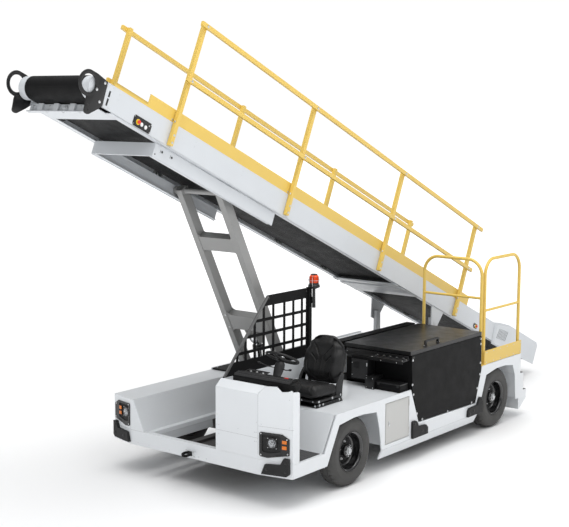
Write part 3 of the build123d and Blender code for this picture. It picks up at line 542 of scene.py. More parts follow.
# ================================================================ tyres
def ring_mesh(bm, profile, origin, axis, seg, cut=None, mat=0):
    """Closed ring turned from a loop of (radius, depth); cut(i, k) is taken off the radius of point i at step k."""
    m = frame_at(origin, axis)
    rings = []
    for i, (r, h) in enumerate(profile):
        row = []
        for k in range(seg):
            rr = r - (cut(i, k) if cut else 0.0)
            a = 2 * pi * k / seg
            row.append(bm.verts.new(m @ Vector((rr * cos(a), rr * sin(a), h))))
        rings.append(row)
    n = len(rings)
    for a in range(n):
        b = (a + 1) % n
        for i in range(seg):
            j = (i + 1) % seg
            f = bm.faces.new((rings[a][i], rings[a][j], rings[b][j], rings[b][i]))
            f.material_index = mat
    return rings


def tyre_piece(node):
    lo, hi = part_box(node)
    left = lo.y > 0
    face = hi.y if left else lo.y
    axis = Vector((0, -1 if left else 1, 0))
    origin = Vector(((lo.x + hi.x) / 2, face, (lo.z + hi.z) / 2))
    W = 0.190
    half = [(0.1830, 0.0220), (0.1840, 0.0150), (0.1890, 0.0090), (0.1960, 0.0065), (0.1985, 0.0085), (0.2010, 0.0085), (0.2035, 0.0060),
            (0.2140, 0.0040), (0.2280, 0.0022), (0.2420, 0.0010), (0.2540, 0.0006), (0.2600, 0.0008), (0.2625, 0.0030), (0.2650, 0.0034),
            (0.2720, 0.0050), (0.2820, 0.0088), (0.2920, 0.0142), (0.2990, 0.0190), (0.3010, 0.0225), (0.3060, 0.0255), (0.3120, 0.0315),
            (0.3165, 0.0385), (0.3190, 0.0460), (0.3200, 0.0540), (0.3200, 0.0600), (0.3130, 0.0612), (0.3130, 0.0660), (0.3200, 0.0672), (0.3200, 0.0905)]
    prof = half + [(r, W - h) for r, h in reversed(half)]
    n = len(prof)
    seg = 210

    def cut(i, k):
        j = min(i, n - 1 - i)
        side = 0 if i < n / 2 else 3
        phase = (k + side) % 6
        if 18 <= j <= 24 and phase == 0:
            return (0.0, 0.005, 0.007, 0.0075, 0.0075, 0.0075, 0.0060)[j - 18]
        if j == 28 and (k + 1) % 6 == 0:
            return 0.005
        return 0.0

    bm = bmesh.new()
    ring_mesh(bm, prof, origin, axis, seg, cut)
    ob = make("look_" + node, bm, TYRE, BODY_OF[node], smooth=32)
    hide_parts(node)
    return ob


def rim_piece(node):
    lo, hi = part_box(node.replace("rim_", "tyre_"))
    left = lo.y > 0
    face = hi.y if left else lo.y
    axis = Vector((0, -1 if left else 1, 0))
    origin = Vector(((lo.x + hi.x) / 2, face, (lo.z + hi.z) / 2))
    W = 0.190
    prof = [(0.0250, 0.118), (0.0250, 0.036), (0.0330, 0.036), (0.0420, 0.038), (0.0500, 0.042), (0.0560, 0.050), (0.0600, 0.064), (0.0625, 0.082),
            (0.0660, 0.090), (0.0740, 0.0945), (0.0960, 0.0975), (0.1080, 0.1010), (0.1200, 0.1055), (0.1320, 0.1070), (0.1420, 0.1040),
            (0.1500, 0.0950), (0.1545, 0.0800), (0.1565, 0.0600), (0.1580, 0.0400), (0.1600, 0.0270), (0.1640, 0.0190), (0.1700, 0.0150),
            (0.1750, 0.0110), (0.1785, 0.0088), (0.1808, 0.0092), (0.1820, 0.0120), (0.1815, 0.0215), (0.1770, 0.0330), (0.1690, 0.0440),
            (0.1670, W - 0.044), (0.1740, W - 0.034), (0.1812, W - 0.0215), (0.1812, W - 0.012), (0.1780, W - 0.010), (0.1680, W - 0.017), (0.1600, W - 0.026),
            (0.1560, 0.140), (0.1500, 0.120), (0.1080, 0.1170), (0.0640, 0.1160), (0.0560, 0.1180)]
    bm = bmesh.new()
    ring_mesh(bm, prof, origin, axis, 96)
    out = -axis
    # wheel nuts on their studs, hub flange, castle nut and cap, valve
    for i in range(5):
        a = radians(18 + 72 * i)
        p = origin + Vector((0.0835 * cos(a), 0, 0.0835 * sin(a))) + axis * 0.0955
        add_lathe(bm, [(0.0165, -0.002), (0.0165, 0.003), (0.0135, 0.005)], p, out, 16, 0)
        add_bolt(bm, p + out * 0.003, out, 0.0115, 0.010, 1, washer=False)
        add_lathe(bm, [(0.0055, 0.010), (0.0055, 0.021), (0.0045, 0.023), (0.0, 0.0235)], p, out, 10, 1)
    for i in range(8):
        a = radians(10 + 45 * i)
        p = origin + Vector((0.0430 * cos(a), 0, 0.0430 * sin(a))) + axis * 0.0392
        add_bolt(bm, p, out, 0.0048, 0.004, 1, washer=False)
    c = origin + axis * 0.036
    add_lathe(bm, [(0.0350, -0.003), (0.0350, 0.0025), (0.0330, 0.0040), (0.0300, 0.0045)], c, out, 32, 1)
    add_lathe(bm, [(0.0262, 0.0), (0.0262, 0.012), (0.0245, 0.016), (0.0215, 0.0185), (0.0180, 0.0195), (0.0170, 0.0165), (0.0, 0.0160)], c, out, 32, 1)
    add_bolt(bm, c + out * 0.0155, out, 0.0115, 0.0055, 1, washer=False)
    a = radians(-38)
    v = origin + Vector((0.150 * cos(a), 0, 0.150 * sin(a))) + axis * 0.070
    add_lathe(bm, [(0.0055, -0.02), (0.0055, 0.010), (0.0040, 0.012), (0.0040, 0.026), (0.0046, 0.027), (0.0046, 0.034), (0.0, 0.035)], v, out, 12, 2)
    ob = make("look_" + node, bm, [RIM, STEEL, RUBBER], BODY_OF[node], smooth=38)
    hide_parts(node)
    return ob


for w in ("front_left", "front_right", "rear_left", "rear_right"):
    tyre_piece("tyre_" + w)
    rim_piece("rim_" + w)


# ================================================================ seat
def grid_solid(name, front, back, rows, cols):
    """Closed pad: front(a, t) and back(a, t) sheets for a in -1..1 and t in 0..1, joined round the edge."""
    bm = bmesh.new()
    F = [[bm.verts.new(front(-1 + 2 * j / cols, i / rows)) for j in range(cols + 1)] for i in range(rows + 1)]
    B = [[bm.verts.new(back(-1 + 2 * j / cols, i / rows)) for j in range(cols + 1)] for i in range(rows + 1)]
    for i in range(rows):
        for j in range(cols):
            bm.faces.new((F[i][j], F[i][j + 1], F[i + 1][j + 1], F[i + 1][j]))
            bm.faces.new((B[i][j], B[i + 1][j], B[i + 1][j + 1], B[i][j + 1]))
    for i in range(rows):
        bm.faces.new((F[i][0], F[i + 1][0], B[i + 1][0], B[i][0]))
        bm.faces.new((F[i][cols], B[i][cols], B[i + 1][cols], F[i + 1][cols]))
    for j in range(cols):
        bm.faces.new((F[0][j], B[0][j], B[0][j + 1], F[0][j + 1]))
        bm.faces.new((F[rows][j], F[rows][j + 1], B[rows][j + 1], B[rows][j]))
    bmesh.ops.recalc_face_normals(bm, faces=bm.faces[:])
    me = bpy.data.meshes.new(name)
    bm.to_mesh(me)
    bm.free()
    ob = bpy.data.objects.new(name, me)
    bpy.context.scene.collection.objects.link(ob)
    return ob


def baked(ob):
    """The object's mesh with its modifiers applied."""
    dg = bpy.context.evaluated_depsgraph_get()
    me = bpy.data.meshes.new_from_object(ob.evaluated_get(dg))
    old = ob.data
    ob.modifiers.clear()
    ob.data = me
    bpy.data.meshes.remove(old)


def puff(ob, voxel, pressure, cap, smooth_steps=6):
    """Remesh, inflate with Cloth, cap the movement, subdivide once."""
    rm = ob.modifiers.new("remesh", "REMESH")
    rm.mode = "VOXEL"
    rm.voxel_size = voxel
    baked(ob)
    sm = ob.modifiers.new("relax", "SMOOTH")
    sm.factor, sm.iterations = 0.5, smooth_steps
    baked(ob)
    rest = [v.co.copy() for v in ob.data.vertices]
    cl = ob.modifiers.new("cloth", "CLOTH")
    s = cl.settings
    s.quality = 6
    s.mass = 0.4
    s.tension_stiffness = s.compression_stiffness = 25
    s.shear_stiffness = 10
    s.bending_stiffness = 1.5
    s.use_pressure = True
    s.uniform_pressure_force = pressure
    s.effector_weights.gravity = 0
    cl.collision_settings.use_collision = False
    sc = bpy.context.scene
    for f in range(1, 21):
        sc.frame_set(f)
    baked(ob)
    sc.frame_set(1)
    for v, r in zip(ob.data.vertices, rest):
        d = v.co - r
        if d.length > cap:
            v.co = r + d.normalized() * cap
    sm = ob.modifiers.new("relax", "SMOOTH")
    sm.factor, sm.iterations = 0.5, 16
    baked(ob)
    sub = ob.modifiers.new("sub", "SUBSURF")
    sub.levels = sub.render_levels = 1
    baked(ob)


def seg_dist(px, py, ax, ay, bx, by):
    dx, dy = bx - ax, by - ay
    t = ((px - ax) * dx + (py - ay) * dy) / (dx * dx + dy * dy)
    t = min(1.0, max(0.0, t))
    return hypot(px - ax - t * dx, py - ay - t * dy)


def carve(ob, uv, facing, lines):
    """Sink sewn channels: lines are (points, half width, depth) in the plane that uv(co) gives; facing picks the side."""
    me = ob.data
    normals = [v.normal.copy() for v in me.vertices]
    flat = []
    for pts, w, d in lines:
        for (ax, ay), (bx, by) in zip(pts, pts[1:]):
            flat.append((ax, ay, bx, by, w, d))
    for v, n in zip(me.vertices, normals):
        k = n.dot(facing)
        if k < 0.25:
            continue
        x, y = uv(v.co)
        sink = 0.0
        for ax, ay, bx, by, w, d in flat:
            r = 3 * w
            if x < min(ax, bx) - r or x > max(ax, bx) + r or y < min(ay, by) - r or y > max(ay, by) + r:
                continue
            q = seg_dist(x, y, ax, ay, bx, by) / w
            if q < 3:
                sink = max(sink, d * math.exp(-q * q))
        if sink > 0:
            v.co -= n * sink * min(1.0, (k - 0.25) / 0.35)


def lerp_table(table, t):
    for (a, va), (b, vb) in zip(table, table[1:]):
        if t <= b:
            k = (t - a) / (b - a)
            k = k * k * (3 - 2 * k)
            return va + (vb - va) * k
    return table[-1][1]


SEAT_Y = 0.620
back_w = [(0.0, 0.176), (0.10, 0.192), (0.22, 0.222), (0.40, 0.240), (0.62, 0.236), (0.80, 0.206), (0.92, 0.150), (0.975, 0.098), (1.0, 0.055)]
back_xf = [(0.0, -0.352), (0.25, -0.318), (0.55, -0.352), (0.80, -0.400), (1.0, -0.448)]
back_xb = [(0.0, -0.440), (0.30, -0.452), (0.65, -0.486), (1.0, -0.505)]


def back_point(a, t, front_side):
    w = lerp_table(back_w, t)
    z = 0.930 + 0.400 * t
    y = SEAT_Y + a * w
    xf, xb = lerp_table(back_xf, t), lerp_table(back_xb, t)
    mid = xb * 0.62 + xf * 0.38
    e = max(0.0, 1 - abs(a) ** 5) ** 0.5
    te = min(1.0, max(0.0, (1 - t) / 0.10)) ** 0.5 if t > 0.9 else 1.0
    bolster = 0.020 * math.exp(-((abs(a) - 0.74) / 0.16) ** 2) * min(1, t * 4) * min(1.0, (1 - t) * 5)
    hollow = -0.010 * math.exp(-(a / 0.42) ** 2) * math.sin(pi * min(1, t * 1.1))
    if front_side:
        x = mid + (xf - mid + bolster + hollow) * (0.25 + 0.75 * e) * (0.3 + 0.7 * te)
    else:
        x = mid + (xb - mid) * (0.35 + 0.65 * e) * (0.3 + 0.7 * te)
    return Vector((FA + x, y, z))


seat_back = grid_solid("look_seat_back", lambda a, t: back_point(a, t, True), lambda a, t: back_point(a, t, False), 40, 44)
puff(seat_back, 0.0068, 3.0, 0.008)
arm = [(-0.112, 1.258), (-0.060, 1.206), (-0.021, 1.160), (-0.019, 1.010)]
arm2 = [(-0.120, 1.176), (-0.088, 1.150), (-0.058, 1.122), (-0.054, 1.018)]
ushape = [(-0.158, 1.120), (-0.142, 1.052), (-0.108, 0.995), (-0.055, 0.966), (0.0, 0.958), (0.055, 0.966), (0.108, 0.995), (0.142, 1.052), (0.158, 1.120)]
topline = [(-0.158, 1.120), (-0.170, 1.200), (-0.150, 1.268), (-0.100, 1.305), (0.0, 1.316), (0.100, 1.305), (0.150, 1.268), (0.170, 1.200), (0.158, 1.120)]


def mirror(line):
    return [(-a, b) for a, b in line]


carve(seat_back, lambda c: (c.y - SEAT_Y, c.z), Vector((1, 0, 0)),
      [(arm, 0.0052, 0.0120), (mirror(arm), 0.0052, 0.0120), (arm2, 0.0050, 0.0105), (mirror(arm2), 0.0050, 0.0105),
       ([(-0.036, 1.132), (-0.036, 1.006)], 0.0044, 0.0090), ([(0.036, 1.132), (0.036, 1.006)], 0.0044, 0.0090),
       (ushape, 0.0062, 0.0080), (topline, 0.0040, 0.0022)])

cush_w = [(0.0, 0.205), (0.12, 0.228), (0.35, 0.243), (0.70, 0.247), (0.92, 0.236), (1.0, 0.205)]


def cushion_point(a, t, top):
    """t runs from the rear edge to the front edge."""
    w = lerp_table(cush_w, t)
    x = -0.425 + 0.602 * t
    y = SEAT_Y + a * w
    e = max(0.0, 1 - abs(a) ** 6) ** 0.5
    te = 1.0
    if t < 0.08:
        te = (t / 0.08) ** 0.5
    if t > 0.92:
        te = max(0.0, (1 - t) / 0.08) ** 0.5
    base = 0.822 + 0.014 * t
    crown = lerp_table([(0.0, 0.888), (0.30, 0.892), (0.75, 0.918), (0.93, 0.926), (1.0, 0.915)], t)
    bolster = 0.020 * math.exp(-((abs(a) - 0.78) / 0.15) ** 2) * min(1, t * 5) * min(1, (1 - t) * 6)
    dish = -0.010 * math.exp(-(a / 0.45) ** 2) * math.sin(pi * min(1, t))
    mid = base * 0.55 + crown * 0.45
    if top:
        z = mid + (crown - mid + bolster + dish) * (0.2 + 0.8 * e) * (0.2 + 0.8 * te)
    else:
        z = mid + (base - mid) * (0.5 + 0.5 * e) * (0.5 + 0.5 * te)
    return Vector((FA + x, y, z))


seat_cushion = grid_solid("look_seat_cushion", lambda a, t: cushion_point(a, t, True), lambda a, t: cushion_point(a, t, False), 44, 44)
puff(seat_cushion, 0.0075, 3.0, 0.008)
c1 = [(-0.26, -0.125), (-0.05, -0.118), (0.10, -0.150), (0.150, -0.165)]
chev = [(-0.16, -0.085), (-0.04, -0.045), (0.045, -0.020)]
chev2 = [(-0.10, -0.100), (0.01, -0.062), (0.085, -0.036)]
carve(seat_cushion, lambda c: (c.x - FA, c.y - SEAT_Y), Vector((0, 0, 1)),
      [(c1, 0.0050, 0.0060), ([(a, -b) for a, b in c1], 0.0050, 0.0060), (chev, 0.0042, 0.0065), ([(a, -b) for a, b in chev], 0.0042, 0.0065),
       (chev2, 0.0042, 0.0065), ([(a, -b) for a, b in chev2], 0.0042, 0.0065), ([(-0.26, -0.125), (-0.27, 0.0), (-0.26, 0.125)], 0.0045, 0.005)])


def set_back(c):
    """Seat back pattern -> its place in the machine."""
    return Vector((c.x + 0.135, 0.550 + (c.y - SEAT_Y) * 0.93, 0.836 + (c.z - 0.922) * 1.09))


def set_cushion(c):
    return Vector((FA - 0.232 + (c.x - FA + 0.425) * 0.699, 0.550 + (c.y - SEAT_Y), c.z - 0.040))


for ob, node, place in ((seat_back, "seat_back", set_back), (seat_cushion, "seat_cushion", set_cushion)):
    for v in ob.data.vertices:
        v.co = place(v.co)
    ob.data.materials.clear()
    ob.data.materials.append(SEAT)
    for p in ob.data.polygons:
        p.use_smooth = True
    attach(ob, "chassis")
    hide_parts(node)

# moulded shell behind the back pad, with its ridge, and the hinge covers with their ribs
bm = bmesh.new()
rows, cols = 30, 28
sheet_o, sheet_i = [], []
for i in range(rows + 1):
    t = i / rows
    ro, ri = [], []
    for j in range(cols + 1):
        a = -1 + 2 * j / cols
        w = lerp_table(back_w, t * 0.97 + 0.01) + 0.004
        z = 0.932 + 0.392 * t
        xb = lerp_table(back_xb, t)
        curl = 0.052 * abs(a) ** 4 + 0.020 * max(0.0, (t - 0.85) / 0.15) ** 2
        rib = 0.004 * math.exp(-((abs(a) - 0.55) / 0.05) ** 2) * min(1, t * 6) * min(1, (1 - t) * 6)
        ro.append(bm.verts.new((FA + max(-0.5185, xb - 0.012 + curl - rib), SEAT_Y + a * w, z)))
        ri.append(bm.verts.new((FA + xb + 0.006 + curl, SEAT_Y + a * (w - 0.008), z)))
    sheet_o.append(ro)
    sheet_i.append(ri)
for i in range(rows):
    for j in range(cols):
        bm.faces.new((sheet_o[i][j], sheet_o[i + 1][j], sheet_o[i + 1][j + 1], sheet_o[i][j + 1]))
        bm.faces.new((sheet_i[i][j], sheet_i[i][j + 1], sheet_i[i + 1][j + 1], sheet_i[i + 1][j]))
for i in range(rows):
    for j in (0, cols):
        bm.faces.new((sheet_o[i][j], sheet_i[i][j], sheet_i[i + 1][j], sheet_o[i + 1][j]))
for j in range(cols):
    for i in (0, rows):
        bm.faces.new((sheet_o[i][j], sheet_i[i][j], sheet_i[i][j + 1], sheet_o[i][j + 1]))
for v in bm.verts:
    v.co = set_back(v.co)
make("seat_back_shell", bm, PLASTIC, "chassis", smooth=50)

bm = bmesh.new()
for sgn in (-1, 1):
    y = SEAT_Y + sgn * 0.236
    # hinge cover: a flattened shell with ribs across it
    for k in range(9):
        s = k / 8
        cx = -0.335 + 0.010 * s - 0.06 * s * s
        cz = 0.862 + 0.150 * s
        rad = 0.060 * (1 - 0.45 * s) * (0.82 + 0.18 * sin(pi * s))
        add_lathe(bm, [(rad * 0.72, -0.018), (rad * 0.94, -0.011), (rad, 0.0), (rad * 0.90, 0.009), (rad * 0.66, 0.014), (0.0, 0.0155)],
                  (FA + cx, y, cz), (0, sgn, 0), 28, 0)
    add_lathe(bm, [(0.016, 0.010), (0.016, 0.020), (0.013, 0.023), (0.0, 0.0235)], (FA - 0.335, y, 0.862), (0, sgn, 0), 20, 0)
    add_bolt(bm, Vector((FA - 0.335, y + sgn * 0.0225, 0.862)), (0, sgn, 0), 0.007, 0.004, 1)
# pivot pins of the back
for sgn in (-1, 1):
    add_bolt(bm, Vector((FA - 0.300, SEAT_Y + sgn * 0.150, 0.926)), (1, 0, 0.25), 0.0065, 0.004, 1)
for v in bm.verts:
    v.co = set_back(v.co)
make("seat_hinge_covers", bm, [PLASTIC_SOFT, STEEL], "chassis", smooth=40)

# suspension: lower rails, bellows, upper pan, front pull bar
bm = bmesh.new()
lo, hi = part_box("seat_suspension")


def ident(x, y, z):
    return (x, y, z)


add_box(bm, (lo.x, lo.y, lo.z), (hi.x, hi.y, lo.z + 0.010), 0.003, 2, 0)
for y0 in (lo.y + 0.004, hi.y - 0.040):
    add_box(bm, (lo.x + 0.004, y0, lo.z + 0.010), (hi.x - 0.004, y0 + 0.036, lo.z + 0.030), 0.003, 2, 0)
    for i in range(7):
        x = lo.x + 0.05 + i * 0.044
        yy = y0 if y0 < 0.5 else y0 + 0.036
        add_box(bm, (x, yy - 0.0015, lo.z + 0.014), (x + 0.024, yy + 0.0015, lo.z + 0.026), 0.001, 1, 1)
# folded bellows
fold = []
nf = 5
for i in range(nf * 2 + 1):
    z = lo.z + 0.030 + (hi.z - lo.z - 0.055) * i / (nf * 2)
    inset = 0.030 if i % 2 else 0.016
    fold.append((z, inset))
loops = []
for z, ins in fold:
    x0, x1, y0, y1, r = lo.x + ins, hi.x - ins, lo.y + ins, hi.y - ins, 0.035
    pts = []
    for cx, cy, a0 in ((x1 - r, y1 - r, 0), (x0 + r, y1 - r, 90), (x0 + r, y0 + r, 180), (x1 - r, y0 + r, 270)):
        for q in range(7):
            a = radians(a0 + 15 * q)
            pts.append(bm.verts.new((cx + r * cos(a), cy + r * sin(a), z)))
    loops.append(pts)
for a, b in zip(loops, loops[1:]):
    k = len(a)
    for i in range(k):
        f = bm.faces.new((a[i], a[(i + 1) % k], b[(i + 1) % k], b[i]))
        f.material_index = 2
for ring in (loops[0], loops[-1]):
    f = bm.faces.new(ring)
    f.material_index = 2
add_box(bm, (lo.x + 0.004, lo.y + 0.003, hi.z - 0.025), (hi.x - 0.002, hi.y - 0.003, hi.z - 0.002), 0.006, 3, 3)
# front pull bar, and bolts along the sides and front
add_box(bm, (hi.x - 0.014, 0.490, lo.z + 0.030), (hi.x - 0.002, 0.610, lo.z + 0.044), 0.004, 2, 3)
for sgn, yy in ((1, hi.y), (-1, lo.y)):
    for x, z in ((lo.x + 0.05, lo.z + 0.020), (lo.x + 0.30, lo.z + 0.020), (hi.x - 0.045, lo.z + 0.020), (hi.x - 0.035, hi.z - 0.013), (lo.x + 0.16, hi.z - 0.013)):
        add_bolt(bm, Vector((x, yy - sgn * (0.0045 if z < lo.z + 0.03 else 0.0035), z)), (0, sgn, 0), 0.0085, 0.0045, 4)
for y in (lo.y + 0.022, hi.y - 0.022):
    add_bolt(bm, Vector((hi.x - 0.0005, y, lo.z + 0.0195)), (1, 0, 0), 0.0080, 0.0045, 4)
for i in range(4):
    add_bolt(bm, Vector((hi.x - 0.0025, lo.y + 0.05 + i * 0.127, hi.z - 0.013)), (1, 0, 0), 0.006, 0.003, 4)
ob = make("look_seat_suspension", bm, [SATIN_BLACK, DARK, RUBBER, PLASTIC, STEEL], "chassis", smooth=40)
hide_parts("seat_suspension")


# ================================================================ steering wheel and column
wc = st(365, 550, 1175)
tilt = radians(28)
wa = Vector((-sin(tilt), 0, cos(tilt)))      # away from the column
wx = Vector((0, 1, 0))
wy = wa.cross(wx)
bm = bmesh.new()
section = []
ns = 14
for i in range(ns):
    a = 2 * pi * i / ns
    section.append((0.1495 + 0.0106 * cos(a), 0.0115 * sin(a)))
m = frame_at(wc, wa, (0, 1, 0))
seg = 144
rings = []
for i, (r, h) in enumerate(section):
    row = []
    for k in range(seg):
        a = 2 * pi * k / seg
        grip = 0.0011 * (0.5 + 0.5 * cos(a * 36)) if (h < 0.004 and r < 0.156) else 0.0
        rr = r + grip
        row.append(bm.verts.new(m @ Vector((rr * cos(a), rr * sin(a), h))))
    rings.append(row)
for a in range(ns):
    b = (a + 1) % ns
    for k in range(seg):
        j = (k + 1) % seg
        bm.faces.new((rings[a][k], rings[a][j], rings[b][j], rings[b][k]))
for ang in (30, 150, 270):
    d = wx * cos(radians(ang)) + wy * sin(radians(ang))
    e = wa.cross(d)
    stations = [(0.026, -0.016, 0.024, 0.010), (0.050, -0.017, 0.021, 0.009), (0.085, -0.014, 0.016, 0.0075), (0.118, -0.008, 0.0145, 0.0065), (0.144, -0.002, 0.0150, 0.0065)]
    prev = None
    for r, off, hw, ht in stations:
        ring = []
        for q in range(12):
            aa = 2 * pi * q / 12
            sx = math.copysign(abs(cos(aa)) ** 0.6, cos(aa)) * hw
            sy = math.copysign(abs(sin(aa)) ** 0.8, sin(aa)) * ht
            ring.append(bm.verts.new(wc + d * r + e * sx + wa * (off + sy)))
        if prev:
            for q in range(12):
                bm.faces.new((prev[q], prev[(q + 1) % 12], ring[(q + 1) % 12], ring[q]))
        else:
            bm.faces.new(ring)
        prev = ring
    bm.faces.new(prev)
add_lathe(bm, [(0.030, -0.034), (0.036, -0.028), (0.036, -0.010), (0.033, -0.003), (0.028, 0.002)], wc, wa, 32, 0)
add_lathe(bm, [(0.0235, -0.002), (0.0235, 0.0045), (0.021, 0.0075), (0.012, 0.0095), (0.0, 0.010)], wc, wa, 32, 1)
# shroud and column
add_lathe(bm, [(0.020, -0.330), (0.030, -0.322), (0.036, -0.300), (0.034, -0.230), (0.036, -0.170), (0.043, -0.130), (0.046, -0.080), (0.041, -0.052), (0.034, -0.044), (0.024, -0.036)], wc, wa, 36, 2)
base = wc - wa * 0.10
# stalk levers with their knobs
for pts in ((base + Vector((0, -0.035, 0)), base + Vector((0.03, -0.10, 0.012)), base + Vector((0.055, -0.165, 0.035))),
            (base + Vector((0, 0.035, 0)), base + Vector((0.025, 0.095, 0.0)), base + Vector((0.045, 0.150, 0.012)))):
    add_tube(bm, pts, 0.0045, 10, 0)
    d = (pts[-1] - pts[-2]).normalized()
    add_lathe(bm, [(0.0045, -0.006), (0.0085, 0.0), (0.0100, 0.016), (0.0085, 0.030), (0.0, 0.034)], pts[-1], d, 16, 0)
# column tower with its bevelled cover
tower = [(0.450, 0.391), (0.620, 0.391), (0.620, 0.800), (0.590, 0.885), (0.490, 0.891), (0.450, 0.830)]
add_prism(bm, tower, 0.480, 0.620, 0.008, 2, 3, lambda u, v, d: (FA + u, d, v))
add_lathe(bm, [(0.060, 0.0), (0.056, 0.020), (0.046, 0.038), (0.040, 0.050), (0.034, 0.056)], st(524, 550, 872), wa, 28, 0)
for z in (0.46, 0.60, 0.74):
    add_box(bm, (FA + 0.446, 0.494, z), (FA + 0.4505, 0.606, z + 0.004), 0.0, 1, 4)
# pedals with ribbed pads
for y, w in ((0.430, 0.060), (0.690, 0.070)):
    add_tube(bm, [st(690, y * 1000, 560), st(740, y * 1000, 545), st(775, y * 1000, 470)], 0.008, 10, 3)
    add_box(bm, (-w / 2, -0.045, -0.006), (w / 2, 0.045, 0.006), 0.003, 2, 0,
            lambda a, b, c, y=y: st(775, y * 1000, 462) + Vector((-0.5 * b - 0.86 * c, a, 0.86 * b - 0.5 * c)))
    for q in range(6):
        add_box(bm, (-w / 2 + 0.005, -0.036 + q * 0.014, 0.0055), (w / 2 - 0.005, -0.031 + q * 0.014, 0.0085), 0.0, 1, 0,
                lambda a, b, c, y=y: st(775, y * 1000, 462) + Vector((-0.5 * b - 0.86 * c, a, 0.86 * b - 0.5 * c)))
ob = make("look_steering", bm, [PLASTIC, STEEL, PLASTIC_SOFT, SATIN_BLACK, DARK], "chassis", smooth=42)
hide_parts("steering")


# ================================================================ dash cowl with its rolled lip
bm = bmesh.new()
cowl = [(0.849, 0.985), (0.854, 0.990), (0.854, 1.070), (0.846, 1.082), (0.822, 1.090), (0.736, 1.104), (0.712, 1.100), (0.694, 1.084), (0.693, 1.050), (0.700, 1.040), (0.762, 0.985)]
add_prism(bm, cowl, 0.384, 1.016, 0.004, 2, 0, lambda u, v, d: (FA + u, d, v))
# angled end towards the step
end = [(0.854, 0.985), (0.854, 1.064), (0.842, 1.078), (0.735, 1.096), (0.705, 1.078), (0.705, 1.044), (0.768, 0.985)]
v0 = [bm.verts.new((FA + u, 1.016, v)) for u, v in end]
v1 = [bm.verts.new((FA + 0.78 + (u - 0.78) * 0.62, 1.040, 1.032 + (v - 1.032) * 0.86)) for u, v in end]
for i in range(len(end)):
    j = (i + 1) % len(end)
    bm.faces.new((v0[i], v0[j], v1[j], v1[i]))
bm.faces.new(v0)
bm.faces.new(v1)
# padded roll along the top edge: two rounded ribs and a lower welt
for cx, cz, r in ((0.838, 1.0905, 0.0125), (0.816, 1.0995, 0.0105), (0.7950, 1.1045, 0.0085)):
    pts = [Vector((FA + cx, 0.396 + 0.0305 * i, cz)) for i in range(21)]
    add_tube(bm, pts, r, 14, 1)
for i in range(17):
    y = 0.404 + 0.0370 * i
    add_tube(bm, arc_points((FA + 0.838, y, 1.0905), 0.0128, radians(-80), radians(110), 8, (1, 0, 0), (0, 0, 1)), 0.0012, 6, 1)
# instrument face and switches on the driver's side of the cowl
add_box(bm, (-0.055, -0.12, 0.0), (0.030, 0.12, 0.003), 0.001, 1, 2, lambda a, b, c: st(752, 560, 1106.5) + Vector((a, b, c + a * -0.16)))
for i in range(6):
    add_lathe(bm, [(0.008, 0), (0.008, 0.006), (0.006, 0.008), (0, 0.0085)], st(748, 470 + i * 34, 1109), (0.16, 0, 1), 14, 3 if i % 2 else 0)
add_box(bm, (-0.012, -0.016, 0.0), (0.012, 0.016, 0.010), 0.002, 2, 4, lambda a, b, c: st(760, 905, 1101) + Vector((a, b, c)))
add_tube(bm, [st(742, 955, 1098), st(735, 985, 1112), st(722, 1003, 1117)], 0.004, 10, 3)
ob = make("look_dash_cowl", bm, [BLACK, PLASTIC_SOFT, SATIN_BLACK, STEEL, RED], "chassis", smooth=42)
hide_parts("dash_cowl")


# ================================================================ headlamps
front_x, corner_y, corner_x, half_w = 945.0, 789.0, 880.0, 1072.0
facet_len = hypot(corner_x - front_x, half_w - corner_y)
corner_left = 742.0


def facet(sgn):
    """u runs along the corner facet from the front corner, v is height, d stands out of it (millimetres)."""
    y0 = corner_left if sgn > 0 else corner_y
    length = hypot(corner_x - front_x, half_w - y0)
    k = length / facet_len
    ux, uy = (corner_x - front_x) / length, sgn * (half_w - y0) / length
    nx, ny = (half_w - y0) / length, sgn * (front_x - corner_x) / length

    def to(u, v, d):
        return st(front_x + u * k * ux + d * nx, sgn * y0 + u * k * uy + d * ny, v)
    return to, Vector((nx, ny, 0))


def add_frame(bm, outer, inner, d0, d1, to, mat=0):
    """Plate with an opening of the same number of corners, solid from d0 to d1."""
    n = len(outer)
    o0 = [bm.verts.new(to(u, v, d0)) for u, v in outer]
    o1 = [bm.verts.new(to(u, v, d1)) for u, v in outer]
    oc = [bm.verts.new(to(u + (0.0), v, d1)) for u, v in outer]
    i0 = [bm.verts.new(to(u, v, d0)) for u, v in inner]
    i1 = [bm.verts.new(to(u, v, d1)) for u, v in inner]
    for i in range(n):
        j = (i + 1) % n
        for quad in ((o0[i], o0[j], o1[j], o1[i]), (o1[i], o1[j], i1[j], i1[i]), (i1[i], i1[j], i0[j], i0[i]), (i0[i], i0[j], o0[j], o0[i])):
            f = bm.faces.new(quad)
            f.material_index = mat
    for v in oc:
        bm.verts.remove(v)


